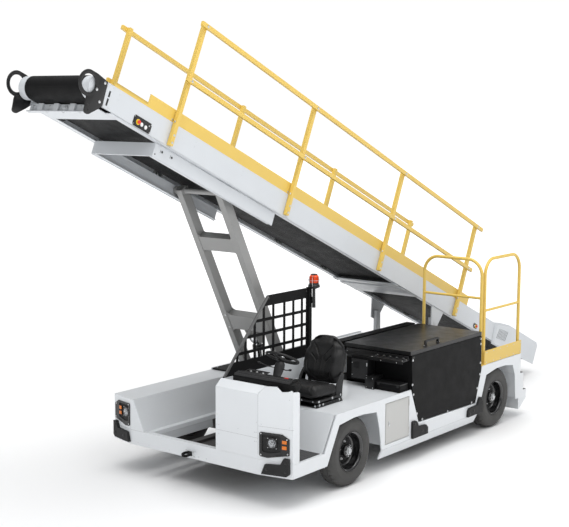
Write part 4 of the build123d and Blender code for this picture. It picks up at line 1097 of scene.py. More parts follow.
for sgn in (1, -1):
    to, nrm = facet(sgn)
    bm = bmesh.new()
    outer = [(16, 644), (26, 654), (207, 654), (266, 618), (266, 478), (84, 434), (28, 440), (16, 450)]
    inner = [(38, 628), (46, 636), (180, 636), (194, 628), (194, 500), (104, 478), (50, 482), (38, 490)]
    add_frame(bm, outer, inner, -2, 9, to, 0)
    # dark tray behind the opening, with louvre slats
    add_prism(bm, [(32, 474), (202, 474), (202, 642), (32, 642)], -2, 0.9, 0, 1, 1, to)
    for i in range(4):
        v = 506 + i * 36
        add_prism(bm, [(38, v), (193, v), (193, v + 3), (38, v + 3)], 0.5, 3.0, 0.6, 1, 0, to)
    # round lamp: bezel, reflector bowl, bulb shield and lens
    lamp_u, tell_u = (122, 207) if sgn > 0 else (74, 150)
    c = to(lamp_u, 566, 0)
    add_lathe(bm, [(0.052, 0.001), (0.052, 0.0095), (0.0495, 0.0120), (0.0405, 0.0120), (0.0385, 0.0100)], c, nrm, 40, 3, cap=False)
    add_lathe(bm, [(0.0385, 0.0102), (0.0340, 0.0065), (0.0260, 0.0035), (0.0160, 0.0018), (0.0, 0.0012)], c, nrm, 40, 5, cap=False)
    add_lathe(bm, [(0.0120, 0.002), (0.0120, 0.0075), (0.0100, 0.0090), (0.0, 0.0095)], c, nrm, 20, 4, cap=False)
    for q in range(3):
        a = radians(90 + 120 * q)
        add_lathe(bm, [(0.0085, 0.0022), (0.0085, 0.0062), (0.0060, 0.0078), (0.0, 0.0080)], c + (to(1, 0, 0) - to(0, 0, 0)).normalized() * 0.0235 * cos(a) + Vector((0, 0, 0.0235 * sin(a))), nrm, 16, 5, cap=False)
    add_lathe(bm, [(0.0405, 0.0110), (0.0360, 0.0128), (0.0240, 0.0142), (0.0, 0.0148)], c, nrm, 40, 6, cap=False)
    for i in range(4):
        a = radians(45 + 90 * i)
        p = c + (to(1, 0, 0) - to(0, 0, 0)).normalized() * 0.058 * cos(a) + Vector((0, 0, 0.058 * sin(a)))
        add_dome(bm, p + nrm * 0.006, nrm, 0.0045, 0.003, 4)
    # two indicator lenses
    for v in (542, 590):
        add_prism(bm, [(tell_u, v - 15), (tell_u + 38, v - 15), (tell_u + 38, v + 15), (tell_u, v + 15)], 8, 13.5, 2.0, 2, 2, to)
        add_prism(bm, [(tell_u - 4, v - 19), (tell_u + 42, v - 19), (tell_u + 42, v + 19), (tell_u - 4, v + 19)], -1, 10.0, 1.0, 1, 3, to)
    # marker under the lamp
    add_prism(bm, [(150, 462), (206, 476), (206, 486), (150, 472)], 8, 10.5, 1.0, 1, 1, to)
    for u, v in ((30, 642), (246, 616), (252, 490), (30, 456)):
        add_dome(bm, to(u, v, 9), nrm, 0.0068, 0.0042, 4)
    ob = make("look_headlamp_left" if sgn > 0 else "look_headlamp_right", bm, [SATIN_BLACK, DARK, ORANGE, PLASTIC, STEEL, REFLECTOR, CLEAR], "chassis", smooth=38)
    if sgn > 0:
        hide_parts("headlamps")

# ---- rubber guards: bolt heads
paint(RUBBER, "corner_guards")
bm = bmesh.new()
for sgn in (1, -1):
    to, nrm = facet(sgn)
    for u, v in ((90, 338), (244, 416), (244, 338)):
        add_bolt(bm, to(u, v, 30), nrm, 0.010, 0.006, 1)
    y = sgn * 1096
    for x, z in ((-1008, 372), (-1150, 282), (-1222, 262), (-2306, 372), (-2150, 282), (-2070, 262)):
        add_bolt(bm, st(x, y, z), (0, sgn, 0), 0.010, 0.006, 1)
make("guard_bolts", bm, [RUBBER, SATIN_BLACK], "chassis", smooth=35)


# ================================================================ beacon in its wire cage
bx, by = -446, 290
bm = bmesh.new()
add_lathe(bm, [(0.017, 1.500), (0.017, 1.694)], st(bx, by, 0), (0, 0, 1), 24, 0)
add_box(bm, (-0.0075, -0.014, 0), (0.0075, 0.014, 0.060), 0.002, 2, 0, lambda a, b, c: st(-450.5, 270, 1540) + Vector((a, b, c)))
add_tube(bm, [st(bx + 10, by, 1612), st(bx + 22, by, 1600), st(bx + 26, by, 1585), st(bx + 27, by, 1565)], 0.005, 10, 0)
add_lathe(bm, [(0.020, 1.680), (0.046, 1.690), (0.064, 1.696), (0.067, 1.703), (0.066, 1.714), (0.060, 1.722), (0.055, 1.726), (0.055, 1.738), (0.0525, 1.742), (0.0, 1.743)], st(bx, by, 0), (0, 0, 1), 48, 0)
add_lathe(bm, [(0.0, 1.822), (0.018, 1.8215), (0.036, 1.817), (0.047, 1.808), (0.0505, 1.796), (0.0515, 1.742)][::-1], st(bx, by, 0), (0, 0, 1), 48, 1)
for i in range(9):
    z = 1.750 + i * 0.0058
    closed = [(0.0512, z), (0.0532, z + 0.0015), (0.0512, z + 0.003)]
    ring_mesh(bm, closed, st(bx, by, 0), (0, 0, 1), 48, None, 1)
add_lathe(bm, [(0.020, 1.745), (0.020, 1.800), (0.0, 1.802)], st(bx, by, 0), (0, 0, 1), 20, 3)
for i in range(4):
    a = radians(22 + 90 * i)
    d = Vector((cos(a), sin(a), 0))
    pts = [st(bx, by, 1712) + d * 0.0655, st(bx, by, 1740) + d * 0.0665, st(bx, by, 1790) + d * 0.0660, st(bx, by, 1812) + d * 0.0600, st(bx, by, 1820) + d * 0.0480, st(bx, by, 1820) + d * 0.0300]
    add_tube(bm, pts, 0.0019, 8, 2)
for z, r in ((1.766, 0.0665), (1.820, 0.0300)):
    pts = [st(bx, by, z * 1000) + Vector((cos(2 * pi * i / 36) * r, sin(2 * pi * i / 36) * r, 0)) for i in range(36)]
    add_tube(bm, pts, 0.0018, 8, 2, closed=True)
add_lathe(bm, [(0.036, 1.816), (0.036, 1.824), (0.0, 1.826)], st(bx, by, 0), (0, 0, 1), 32, 0)
for i in range(12):
    a = 2 * pi * i / 12
    d = Vector((cos(a), sin(a), 0))
    add_tube(bm, [st(bx, by, 1744) + d * 0.0525, st(bx, by, 1800) + d * 0.0515], 0.0022, 6, 0)
centre = st(bx, by, 0)
for v in bm.verts:
    if v.co.z > 1.6765:
        v.co.x = centre.x + (v.co.x - centre.x) * 0.86
        v.co.y = centre.y + (v.co.y - centre.y) * 0.86
ob = make("look_beacon", bm, [SATIN_BLACK, AMBER, STEEL, REFLECTOR], "chassis", smooth=40)
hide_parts("beacon")

# ---- guard plate: folded lip along its slope and bolts, post cap
bm = bmesh.new()
s0, s1 = Vector((219, 0, 1694)), Vector((831, 0, 1039))
d = (s1 - s0).normalized()
nn = Vector((d.z, 0, -d.x)) * -1
for a0, a1 in ((0.0, (s1 - s0).length),):
    corners = [s0 - nn * 22, s0 + nn * 0.5, s1 + nn * 0.5, s1 - nn * 22]
    v0 = [bm.verts.new(st(p.x, 248, p.z)) for p in corners]
    v1 = [bm.verts.new(st(p.x, 264, p.z)) for p in corners]
    for i in range(4):
        j = (i + 1) % 4
        bm.faces.new((v0[i], v0[j], v1[j], v1[i])).material_index = 2
    bm.faces.new(v0).material_index = 2
    bm.faces.new(v1[::-1]).material_index = 2
for x, z in ((-418, 760), (-418, 1180), (-418, 1640)):
    add_bolt(bm, st(x, 272, z), (0, 1, 0), 0.006, 0.003, 0)
for x, z in ((-372, 1100), (-372, 1664), (196, 1664)):
    add_bolt(bm, st(x, 256, z), (0, 1, 0), 0.007, 0.004, 0)
add_box(bm, (-0.0245, -0.0195, 0.0), (0.0245, 0.0195, 0.004), 0.0015, 2, 0, lambda a, b, c: st(-418, 253, 1694) + Vector((a, b, c)))
GUARD_EDGE = surface("paint_guard_edge", (0.10, 0.10, 0.10), 0.40, coat=0.25, coat_rough=0.2, vary=0.08, bump=0.0003, bump_scale=500)
make("guard_fittings", bm, [SATIN_BLACK, STEEL, GUARD_EDGE], "chassis", smooth=35)


# ================================================================ console behind the seat
bm = bmesh.new()
to_mm = st
add_prism(bm, [(-950, 998), (-846, 998), (-846, 1010), (-938, 1010), (-938, 1042), (-950, 1042)], 330, 1050, 1.5, 2, 0, lambda u, v, d: st(u, d, v))
for i in range(5):
    p = st(-886, 735 + i * 74, 1010)
    add_lathe(bm, [(0.0180, 0.0), (0.0180, 0.003), (0.0130, 0.005), (0.0120, 0.012), (0.0150, 0.015), (0.0170, 0.019), (0.0150, 0.023), (0.0, 0.024)], p, (0, 0, 1), 24, 3)
    add_lathe(bm, [(0.007, 0.0225), (0.007, 0.0242), (0.0, 0.0243)], p, (0, 0, 1), 14, 2)
for y in (345, 690, 1036):
    for x in (-930, -858):
        add_bolt(bm, st(x, y, 1010), (0, 0, 1), 0.005, 0.003, 2)
# folded front lip of the tray with its fixings
add_box(bm, (-848, 330, 978), (-845, 1050, 999), 0.0, 1, 0, lambda a, b, c: st(a, b, c))
for y in (0.40, 0.60, 0.80, 0.98):
    add_dome(bm, Vector((FA - 0.845, y, 0.988)), (1, 0, 0), 0.005, 0.003, 2)
# equipment box under the tray: body, door with its edge, hinge and plain plate
add_box(bm, (-948, 470, 775), (-826, 665, 1000), 4, 2, 1, lambda a, b, c: st(a, b, c))
add_box(bm, (-828, 476, 782), (-820, 659, 972), 2, 2, 3, lambda a, b, c: st(a, b, c))
add_box(bm, (-821, 500, 880), (-818.5, 566, 944), 0.6, 1, 0, lambda a, b, c: st(a, b, c))
for z in (812, 930):
    add_lathe(bm, [(0.005, -0.016), (0.005, 0.016), (0.0, 0.016)], st(-820, 655, z), (0, 0, 1), 12, 2)
    add_dome(bm, st(-820, 484, z), (1, 0, 0), 0.005, 0.003, 2)
# closed dark casing and the low box beside it
add_box(bm, (-948, 665, 706), (-780, 765, 826), 4, 2, 0, lambda a, b, c: st(a, b, c))
for y in (678, 752):
    for z in (720, 812):
        add_dome(bm, st(-780, y, z), (1, 0, 0), 0.005, 0.003, 2)
add_box(bm, (-948, 770, 706), (-810, 1046, 780), 4, 2, 1, lambda a, b, c: st(a, b, c))
add_box(bm, (-948, 768, 774), (-808, 1048, 786), 3, 2, 0, lambda a, b, c: st(a, b, c))
for y in (800, 1020):
    add_box(bm, (-811, y - 12, 756), (-806.5, y + 12, 782), 1.0, 1, 0, lambda a, b, c: st(a, b, c))
ob = make("look_console", bm, [SATIN_BLACK, BLACK, STEEL, PLASTIC_SOFT], "chassis", smooth=38)
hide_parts("console")


# ================================================================ conveyor head: end plates with their rings
near_y, far_y = 157.0, -679.0
bm = bmesh.new()
for y0 in (near_y, far_y - 12):
    plate = [(2378, 212), (2440, 220), (2494, 228), (2520, 226), (2520, 30), (2540, 18), (2542, -10), (2530, -60), (2526, -92), (2520, -102), (2506, -108), (2486, -108), (2472, -102), (2440, -70), (2400, -30), (2362, 14)]
    # web cut back to a concave line round the ring
    web = [(2378, 212), (2440, 220), (2500, 227.5), (2548, 227.5)]
    for i in range(13):
        a = radians(93 + (250 - 93) * i / 12)
        web.append((2558 + 92 * cos(a), 123 + 92 * sin(a)))
    web += [(2542, 22), (2541, -8), (2532, -52), (2527, -92), (2519, -103), (2504, -108), (2486, -107), (2470, -100), (2440, -70), (2400, -30), (2362, 14)]
    add_prism(bm, web, y0, y0 + 12, 2.0, 2, 0, lambda u, v, d: cv(u, d, v))
    prof = []
    for i in range(12):
        a = 2 * pi * i / 12
        sx = math.copysign(abs(cos(a)) ** 0.7, cos(a))
        sy = math.copysign(abs(sin(a)) ** 0.7, sin(a))
        prof.append((0.0885 + 0.0175 * sx, 0.006 + 0.006 * sy))
    ring_mesh(bm, prof, cv(2558, y0, 123), (0, 1, 0), 72, None, 0)
    ny = 1 if y0 > 0 else -1
    yf = y0 + 12 if ny > 0 else y0
    for s, n in ((2404, 190), (2404, 32), (2466, 110)):
        add_bolt(bm, cv(s, yf, n), (0, ny, 0), 0.0085, 0.005, 1)
    for s, n in ((2490, -70), (2512, -40)):
        add_bolt(bm, cv(s, yf, n), (0, ny, 0), 0.0065, 0.004, 0)
ob = make("look_head_plates", bm, [SATIN_BLACK, STEEL], "conveyor", smooth=40)
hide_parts("head_plates")

# ---- fittings of the head: shield rims, channel boss, bolts
bm = bmesh.new()
for y in (148.0, -261 + 331.0, -261 - 331.0 - 5, -668.0):
    ring = [(0.0935, -0.0015), (0.0962, 0.0), (0.0962, 0.003), (0.0935, 0.0045)]
    ring_mesh(bm, ring, cv(2450, y - 2, 128), (0, 1, 0), 72, None, 0)
# round boss with a hexagon in the middle of the channel
add_lathe(bm, [(0.026, -0.004), (0.026, 0.006), (0.022, 0.010), (0.0, 0.0105)], cv(2372, -235, -14), (CA, 0, SA), 32, 0)
add_bolt(bm, cv(2382, -235, -14), (CA, 0, SA), 0.013, 0.008, 0, washer=False)
for y in (-620, -430, -60, 20):
    for n in (-32, 6):
        add_bolt(bm, cv(2372, y, n), (CA, 0, SA), 0.006, 0.004, 1)
for y in (-640, -425, -235, -40):
    add_bolt(bm, cv(2386, y, -52), (SA, 0, -CA), 0.007, 0.004, 1)
make("head_channel_fittings", bm, [PALE, STEEL], "conveyor", smooth=38)

bm = bmesh.new()
for yo, ny in ((near_y, 1), (far_y, -1)):
    def tos(u, v, d, yo=yo, ny=ny):
        return cv(u, yo + ny * d, v)
    # cover strip at the front end of the side plate, with its two-part slot
    add_prism(bm, [(2283, 12), (2364, 12), (2364, 213), (2283, 213)], 0.0, 2.2, 0.6, 1, 0, tos)
    for n0, n1 in ((36, 96), (108, 160)):
        add_prism(bm, [(2312, n0), (2330, n0), (2330, n1), (2312, n1)], 1.8, 2.8, 0, 1, 2, tos)
    for n in (100, 104):
        add_prism(bm, [(2308, n - 3), (2334, n - 3), (2334, n), (2308, n)], 1.8, 3.0, 0, 1, 0, tos)
    for s, n in ((2296, 30), (2350, 30), (2296, 196), (2350, 196), (2350, 110)):
        add_dome(bm, tos(s, n, 2.2), (0, ny, 0), 0.0062, 0.003, 1)
    # lap joints of the side plate where each post's stiffener sits, with rivet pairs
    for s in (1553, -153, -1859, -3565):
        add_prism(bm, [(s - 64, 14), (s + 22, 14), (s + 22, 211), (s - 64, 211)], 0.0, 1.6, 0.5, 1, 0, tos)
        for ds, n in ((-52, 26), (12, 26), (-52, 196), (12, 196)):
            add_dome(bm, tos(s + ds, n, 1.6), (0, ny, 0), 0.0045, 0.0022, 1)
    for s in (2215, 1240, 560, -560, -1240, -2240, -2900):
        for n in (176, 132):
            add_dome(bm, tos(s, n, 0), (0, ny, 0), 0.0045, 0.002, 0)
make("side_plate_fittings", bm, [PALE, STEEL, DARK], "conveyor", smooth=35)

# ---- side plate edge roll: a thin return along the lower edge catches the light
bm = bmesh.new()
for yo, ny in ((near_y, 1), (far_y, -1)):
    pts = [cv(-5150 + (2246 + 5150) * i / 24, yo - ny * 3, 3) for i in range(25)]
    add_tube(bm, pts, 0.0045, 8, 0)
make("side_plate_edges", bm, PALE, "conveyor", smooth=50)

# ================================================================ inner face of the conveyor frame, seen from below
bm = bmesh.new()
for s in (2040, 1500, 760, -420, -1180, -2060, -3300, -3900, -4700):
    for yo, ny in ((near_y - 8, -1), (far_y + 8, 1)):
        def toi(u, v, d, yo=yo, ny=ny):
            return cv(u, yo + ny * d, v)
        # bearing carrier of a return roller: plate, round housing, bolts
        add_prism(bm, [(s - 62, 10), (s + 62, 10), (s + 62, 44), (s + 40, 62), (s - 40, 62), (s - 62, 44)], 0.0, 6.0, 1.5, 1, 0, toi)
        add_lathe(bm, [(0.026, 0.0), (0.026, 0.016), (0.022, 0.020), (0.0, 0.0205)], toi(s, 34, 5), (0, ny, 0), 24, 1)
        for ds in (-46, 46):
            add_bolt(bm, toi(s + ds, 30, 6), (0, ny, 0), 0.008, 0.005, 1)
# cross channels under the belt, between the side plates
for s0, s1, n0 in ((-2360, -2270, -17), (-2500, -2410, -17), (-2760, -2515, -9)):
    add_box(bm, (s0, -668, n0), (s1, 146, -1), 2.5 if n0 > -12 else 6.0, 3, 2, cv)
    for y in (-652, 130):
        for ds in (22, s1 - s0 - 22):
            add_dome(bm, cv(s0 + ds, y, n0), -(cv(0, 0, 1) - cv(0, 0, 0)).normalized(), 0.0075, 0.004, 1)
make("return_roller_carriers", bm, [GREY, STEEL, PALE], "conveyor", smooth=38)

# ================================================================ slide track: round holes with slots, bolts
bm = bmesh.new()
for yo, ny in ((126.0, 1), (-600.0, -1)):
    def tot(u, v, d, yo=yo, ny=ny):
        return cv(u, yo + ny * d, v)
    for s, n in ((1562, -50), (1436, -50)):
        add_lathe(bm, [(0.0155, -0.0005), (0.0155, 0.0012), (0.0125, 0.0020), (0.0115, 0.0008)], tot(s, n, 0), (0, ny, 0), 24, 0)
        add_lathe(bm, [(0.0100, 0.0), (0.0100, 0.0010), (0.0, 0.0011)], tot(s, n, 0.2), (0, ny, 0), 20, 2)
        add_prism(bm, [(s + 19, n - 13), (s + 22, n - 13), (s + 22, n + 13), (s + 19, n + 13)], 0.0, 0.8, 0, 1, 2, tot)
    for s in (1610, 1180, 760, 340, -20):
        add_dome(bm, tot(s, -20, 0), (0, ny, 0), 0.006, 0.003, 0)
    add_dome(bm, tot(1636, -96, 0), (0, ny, 0), 0.0062, 0.003, 2)
# rolled lower edges
for y in (119, -593):
    add_tube(bm, [cv(-60 + (1655 + 60) * i / 12, y, -121) for i in range(13)], 0.0068, 10, 0)
make("slide_track_fittings", bm, [PALE, STEEL, DARK], "conveyor", smooth=38)


# ================================================================ louvred motor cover
def tom(u, v, d):
    return cv(u, near_y + d, v)


bm = bmesh.new()
outline = [(-4600, -40), (-4590, 205), (-4940, 285), (-4975, 50), (-4880, -40)]
cxm = sum(p[0] for p in outline) / 5
cym = sum(p[1] for p in outline) / 5
inner = [(cxm + (u - cxm) * 0.90, cym + (v - cym) * 0.88) for u, v in outline]
b0 = [bm.verts.new(tom(u, v, 0)) for u, v in outline]
b1 = [bm.verts.new(tom(cxm + (u - cxm) * 0.985, cym + (v - cym) * 0.985, 14)) for u, v in outline]
b2 = [bm.verts.new(tom(u, v, 29)) for u, v in inner]
for a, b in ((b0, b1), (b1, b2)):
    for i in range(5):
        j = (i + 1) % 5
        bm.faces.new((a[i], a[j], b[j], b[i]))
bm.faces.new(b0)
bm.faces.new(b2)
# flange round the cover with its screws
for (u0, v0), (u1, v1) in zip(outline, outline[1:] + outline[:1]):
    for q in (0.15, 0.85):
        u, v = u0 + (u1 - u0) * q, v0 + (v1 - v0) * q
        u, v = cxm + (u - cxm) * 0.975, cym + (v - cym) * 0.965
        add_dome(bm, tom(u, v, 14.5), (0, 1, 0), 0.0055, 0.003, 1)
# pressed louvres, slanted across the cover
for i in range(8):
    s = -4664 - i * 31
    n0 = 44 + i * 3
    p0, p1 = Vector((s + 8, n0, 0)), Vector((s - 30, n0 + 128, 0))
    d = (p1 - p0).normalized()
    q = Vector((-d.y, d.x, 0))
    w = 8.0
    for (a, b), mt, h0, h1 in (((-w, -w * 0.1), 2, 28.6, 29.4), ((-w * 0.1, w), 0, 28.6, 32.0)):
        pts = [p0 + q * a, p1 + q * a, p1 + q * b, p0 + q * b]
        add_prism(bm, [(p.x, p.y) for p in pts], h0, h1, 0.6 if mt == 0 else 0, 1, mt, tom)
VENT = surface("vent_shadow", (0.10, 0.105, 0.11), 0.7, vary=0.03)
ob = make("look_motor_cover", bm, [PALE, STEEL, VENT], "conveyor", smooth=30)
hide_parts("motor_cover")


# ================================================================ control boxes on the side plates
def chamfered(u0, u1, v0, v1, c):
    return [(u0 + c, v0), (u1 - c, v0), (u1, v0 + c), (u1, v1 - c), (u1 - c, v1), (u0 + c, v1), (u0, v1 - c), (u0, v0 + c)]


def mushroom(bm, p, n, r=0.0135):
    add_lathe(bm, [(r * 1.45, -0.0005), (r * 1.45, 0.0022), (r * 1.30, 0.0030)], p, n, 32, 4)
    add_lathe(bm, [(r * 0.65, 0.002), (r * 0.65, 0.010), (r * 0.98, 0.0115), (r * 1.02, 0.0150), (r * 0.86, 0.0190), (r * 0.45, 0.0212), (0.0, 0.0216)], p, n, 32, 2)


def button(bm, p, n, mat, r=0.0115):
    add_lathe(bm, [(r * 1.18, -0.0005), (r * 1.18, 0.0026), (r * 1.02, 0.0036)], p, n, 28, 1)
    add_lathe(bm, [(r, 0.001), (r, 0.0052), (r * 0.85, 0.0066), (0.0, 0.0070)], p, n, 28, mat)


bm = bmesh.new()


def ton(u, v, d):
    return cv(u, near_y + d, v)


add_prism(bm, chamfered(1790, 2004, 14, 104, 13), 0.0, 4.0, 1.0, 2, 0, ton)
add_prism(bm, chamfered(1802, 1992, 20, 98, 9), 4.0, 6.5, 1.0, 2, 5, ton)
for u, v in ((1798, 28), (1798, 90), (1996, 28), (1996, 90)):
    add_dome(bm, ton(u, v, 4), (0, 1, 0), 0.0042, 0.0026, 1)
mushroom(bm, ton(1950, 56, 6.5), (0, 1, 0), 0.0165)
button(bm, ton(1906, 52, 6.5), (0, 1, 0), 3, 0.0150)
button(bm, ton(1856, 48, 6.5), (0, 1, 0), 3, 0.0150)
add_lathe(bm, [(0.0060, 0), (0.0060, 0.004), (0.0, 0.0045)], ton(1822, 74, 6.5), (0, 1, 0), 14, 1)
for yo, ny in ((near_y, 1), (far_y, -1)):
    def tor(u, v, d, yo=yo, ny=ny):
        return cv(u, yo + ny * d, v)
    add_prism(bm, chamfered(-4175, -4085, 20, 78, 9), 0.0, 4.0, 1.0, 2, 0, tor)
    mushroom(bm, tor(-4142, 48, 4), (0, ny, 0), 0.0150)
    button(bm, tor(-4108, 46, 4), (0, ny, 0), 3, 0.0080)
    for u, v in ((-4169, 28), (-4169, 70), (-4091, 28), (-4091, 70)):
        add_dome(bm, tor(u, v, 4), (0, ny, 0), 0.0035, 0.0022, 1)
ob = make("look_control_boxes", bm, [SATIN_BLACK, STEEL, RED, BTN_WHITE, BTN_YELLOW, PLASTIC_SOFT], "conveyor", smooth=38)
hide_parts("control_boxes")


# ================================================================ toe boards: folded top lip, rivets, stiffening ends
bm = bmesh.new()
for yo, ny in ((near_y - 5, 1), (far_y + 5, -1)):
    pts = [cv(-3843 + (1890 + 3843) * i / 30, yo - ny * 1.5, 324.0) for i in range(31)]
    add_tube(bm, pts, 0.0042, 8, 0)
    for i in range(22):
        s = -3780 + i * 260
        if s < 1880:
            add_dome(bm, cv(s, yo + ny * 3.2, 222), (0, ny, 0), 0.0048, 0.0022, 0)
    for s in (1553, -153, -1859, -3565):
        for ds, n in ((-30, 236), (30, 236)):
            add_bolt(bm, cv(s + ds, yo + ny * 3, n), (0, ny, 0), 0.0068, 0.0042, 1)
            add_dome(bm, cv(s + ds, yo - ny * 3, n), (0, -ny, 0), 0.0068, 0.004, 1)
make("toe_board_fittings", bm, [YELLOW, STEEL], "conveyor", smooth=40)


# ================================================================ handrails: end caps, clamps and bolts
for side_name, sgn in (("left", 1), ("right", -1)):
    inner_y = near_y + 5 if sgn > 0 else far_y - 5
    outer_y = inner_y + sgn * 38
    for i in range(4):
        s = 1553 - i * 1706
        bm = bmesh.new()
        for n0, n1 in ((14.5, 17.5), (1110.5, 1113.5)):
            add_prism(bm, [(s - 18, n0), (s + 18, n0), (s + 18, n1), (s - 18, n1)], min(inner_y, outer_y) + 1, max(inner_y, outer_y) - 1, 0.8, 1, 0, lambda u, v, d: cv(u, d, v))
        # bracket straps round the post with their bolts
        for n in (40, 106):
            add_bolt(bm, cv(s, outer_y, n), (0, sgn, 0), 0.0078, 0.005, 1)
        for n in (222,):
            for ds in (-1, 1):
                add_bolt(bm, cv(s + ds * 19, (inner_y + outer_y) / 2, n), (ds * CA, 0, ds * SA), 0.0072, 0.006, 1)
        for n in (592, 1094):
            add_lathe(bm, [(0.0205, 0.0), (0.0205, 0.0028), (0.0185, 0.0034)], cv(s, outer_y, n), (0, sgn, 0), 24, 0)
        make("post_fittings_%s_%d" % (side_name, i + 1), bm, [YELLOW, STEEL], "post_%s_%d" % (side_name, i + 1), smooth=38)
    bm = bmesh.new()
    ra = outer_y + sgn * 3.5
    rb = ra + sgn * 26
    for n, s0, s1 in ((1094.0, -3675.0, 1623.0), (592.0, -3645.0, 1611.0)):
        for se, ds in ((s0, -1), (s1, 1)):
            # plugged end with its stop
            add_prism(bm, [(se, n - 18.5), (se + ds * 3.5, n - 18.5), (se + ds * 3.5, n + 18.5), (se, n + 18.5)], min(ra, rb) + 1.5, max(ra, rb) - 1.5, 1.0, 1, 0, lambda u, v, d: cv(u, d, v))
        for i in range(4):
            s = 1553 - i * 1706
            add_bolt(bm, cv(s, rb, n), (0, sgn, 0), 0.0085, 0.0055, 1)
            add_prism(bm, [(s - 30, n - 21.5), (s + 30, n - 21.5), (s + 30, n - 19.5), (s - 30, n - 19.5)], min(ra, rb), max(ra, rb), 0.5, 1, 0, lambda u, v, d: cv(u, d, v))
            for ds in (-22, 22):
                add_dome(bm, cv(s + ds, rb, n - 8), (0, sgn, 0), 0.0042, 0.0024, 1)
    make("rail_fittings_" + side_name, bm, [YELLOW, STEEL], "rails_" + side_name, smooth=38)

# foot brackets of the posts on the side plates
bm = bmesh.new()
for yo, ny in ((near_y, 1), (far_y, -1)):
    for s in (1553, -153, -1859, -3565):
        add_prism(bm, [(s - 34, -1), (s + 52, -1), (s + 52, 12), (s - 34, 12)], min(yo, yo + ny * 3), max(yo, yo + ny * 3), 0.6, 1, 0, lambda u, v, d: cv(u, d, v))
        for ds in (-24, 40):
            add_dome(bm, cv(s + ds, yo + ny * 3, 5.5), (0, ny, 0), 0.0042, 0.0024, 1)
make("post_foot_brackets", bm, [PALE, STEEL], "conveyor", smooth=38)


# ================================================================ lift frame: gussets, pivot bosses, bolts; cylinder details
lp, lt = Vector((-620, 0, 400)), Vector((532, 0, 2634))
ld = (lt - lp).normalized()
lnrm = Vector((-ld.z, 0, ld.x))
lift_len = (lt - lp).length


def lf(u, y, v):
    """u up the legs from the pivot, v square to them (forward-down side negative)."""
    p = lp + ld * u + lnrm * v
    return st(p.x, y, p.z)


bm = bmesh.new()
for y_in, sg in ((-57.0, -1), (-465.0, 1)):
    # curved gusset from each leg into the cross bars
    for u_edge, du in ((1150, 1), (985, -1), (2044, 1), (1897, -1)):
        R = 56.0 if u_edge < 1500 else 30.0
        prof = [(0.0, 0.0), (R, 0.0)]
        for q in range(1, 9):
            a = radians(90 * q / 9)
            prof.append((R - R * sin(a), R - R * cos(a)))
        prof.append((0.0, R))
        pts = [(w, t) for w, t in prof]
        for v0, v1 in ((-43, -37), (37, 43)):
            add_prism(bm, pts, v0, v1, 0.8, 1, 0, lambda w, t, d, y_in=y_in, sg=sg, u_edge=u_edge, du=du: lf(u_edge + du * t, y_in + sg * w, d))
for y, sg in ((11.0, 1), (-57.0, -1), (-465.0, 1), (-533.0, -1)):
    out = Vector((0, sg, 0))
    # pivot boss at the foot of the leg
    add_lathe(bm, [(0.050, 0.0), (0.050, 0.003), (0.044, 0.0045)], lf(0, y, 0), out, 36, 0)
    for k in range(6):
        a = 2 * pi * k / 6
        add_bolt(bm, lf(0, y + sg * 4, 0) + Vector((cos(a), 0, sin(a))) * 0.041, out, 0.006, 0.004, 1)
    if sg * (y + 261) > 0 or True:
        add_lathe(bm, [(0.036, 0.0), (0.036, 0.003), (0.032, 0.0045)], lf(lift_len, y, 0), out, 32, 0)
# weld plates with slots beside the lower cross bar; the slots are thin raised strips in a darker grey, painted shade
for y, sg in ((11.0, 1), (-533.0, -1)):
    for v in (-26, 26):
        add_prism(bm, [(1010, v - 3), (1130, v - 3), (1130, v + 3), (1010, v + 3)], 0, 1.0, 0.3, 1, 2, lambda a, b, d, y=y, sg=sg: lf(a, y + sg * d, b))
for y in (-33, -489):
    for u in (1000, 1140):
        add_bolt(bm, lf(u, y, -48), -Vector((lnrm.x, 0, lnrm.z)), 0.008, 0.005, 1)
# darker grey for the slot strips: painted shade in the slots
SHADE_GREY = surface("lift_slot_painted_shade", (0.20, 0.20, 0.197), 0.5, vary=0.05)
make("lift_frame_fittings", bm, [GREY, STEEL, SHADE_GREY], "lift_frame", smooth=40)

# cylinder: gland and port blocks on the barrel, wiper and eye collar on the rod
pin, eye = Vector((-360, 0, 280)), Vector((-262, 0, 1157))
cd = (eye - pin).normalized()


def cy(h, y, r=0.0):
    p = pin + cd * h
    return st(p.x, y, p.z)


CONV_Y = -261.0
cax = Vector((cd.x, 0, cd.z))
bm = bmesh.new()
add_lathe(bm, [(0.0525, 0.0), (0.0560, 0.003), (0.0560, 0.040), (0.0525, 0.045), (0.0525, 0.049), (0.0460, 0.050), (0.0380, 0.050)], cy(470, CONV_Y), cax, 48, 0)
add_lathe(bm, [(0.0525, 0.0), (0.0548, 0.002), (0.0548, 0.014), (0.0525, 0.016)], cy(64, CONV_Y), cax, 48, 0)
for h in (110, 440):
    side_v = Vector((-cd.z, 0, cd.x))
    add_lathe(bm, [(0.016, 0.040), (0.016, 0.064), (0.012, 0.066), (0.012, 0.074), (0.0, 0.0745)], cy(h, CONV_Y), side_v, 20, 1)
make("lift_barrel_fittings", bm, [SATIN_BLACK, STEEL], "lift_barrel", smooth=40)
bm = bmesh.new()
hl = (eye - pin).length
add_lathe(bm, [(0.0365, 0.0), (0.0500, 0.002), (0.0500, 0.050), (0.0460, 0.055)], cy(hl - 110, CONV_Y), cax, 40, 0)
for k in range(4):
    a = 2 * pi * k / 4 + 0.6
    sv = Vector((-cd.z, 0, cd.x))
    add_dome(bm, cy(hl - 84, CONV_Y) + (sv * cos(a) + Vector((0, 1, 0)) * sin(a)) * 0.0495, sv * cos(a) + Vector((0, 1, 0)) * sin(a), 0.006, 0.003, 1)
make("lift_rod_collar", bm, [SATIN_BLACK, STEEL], "lift_rod", smooth=40)


# ================================================================ body: seams, fixings, mats, lid handle, latches, lamps
bm = bmesh.new()
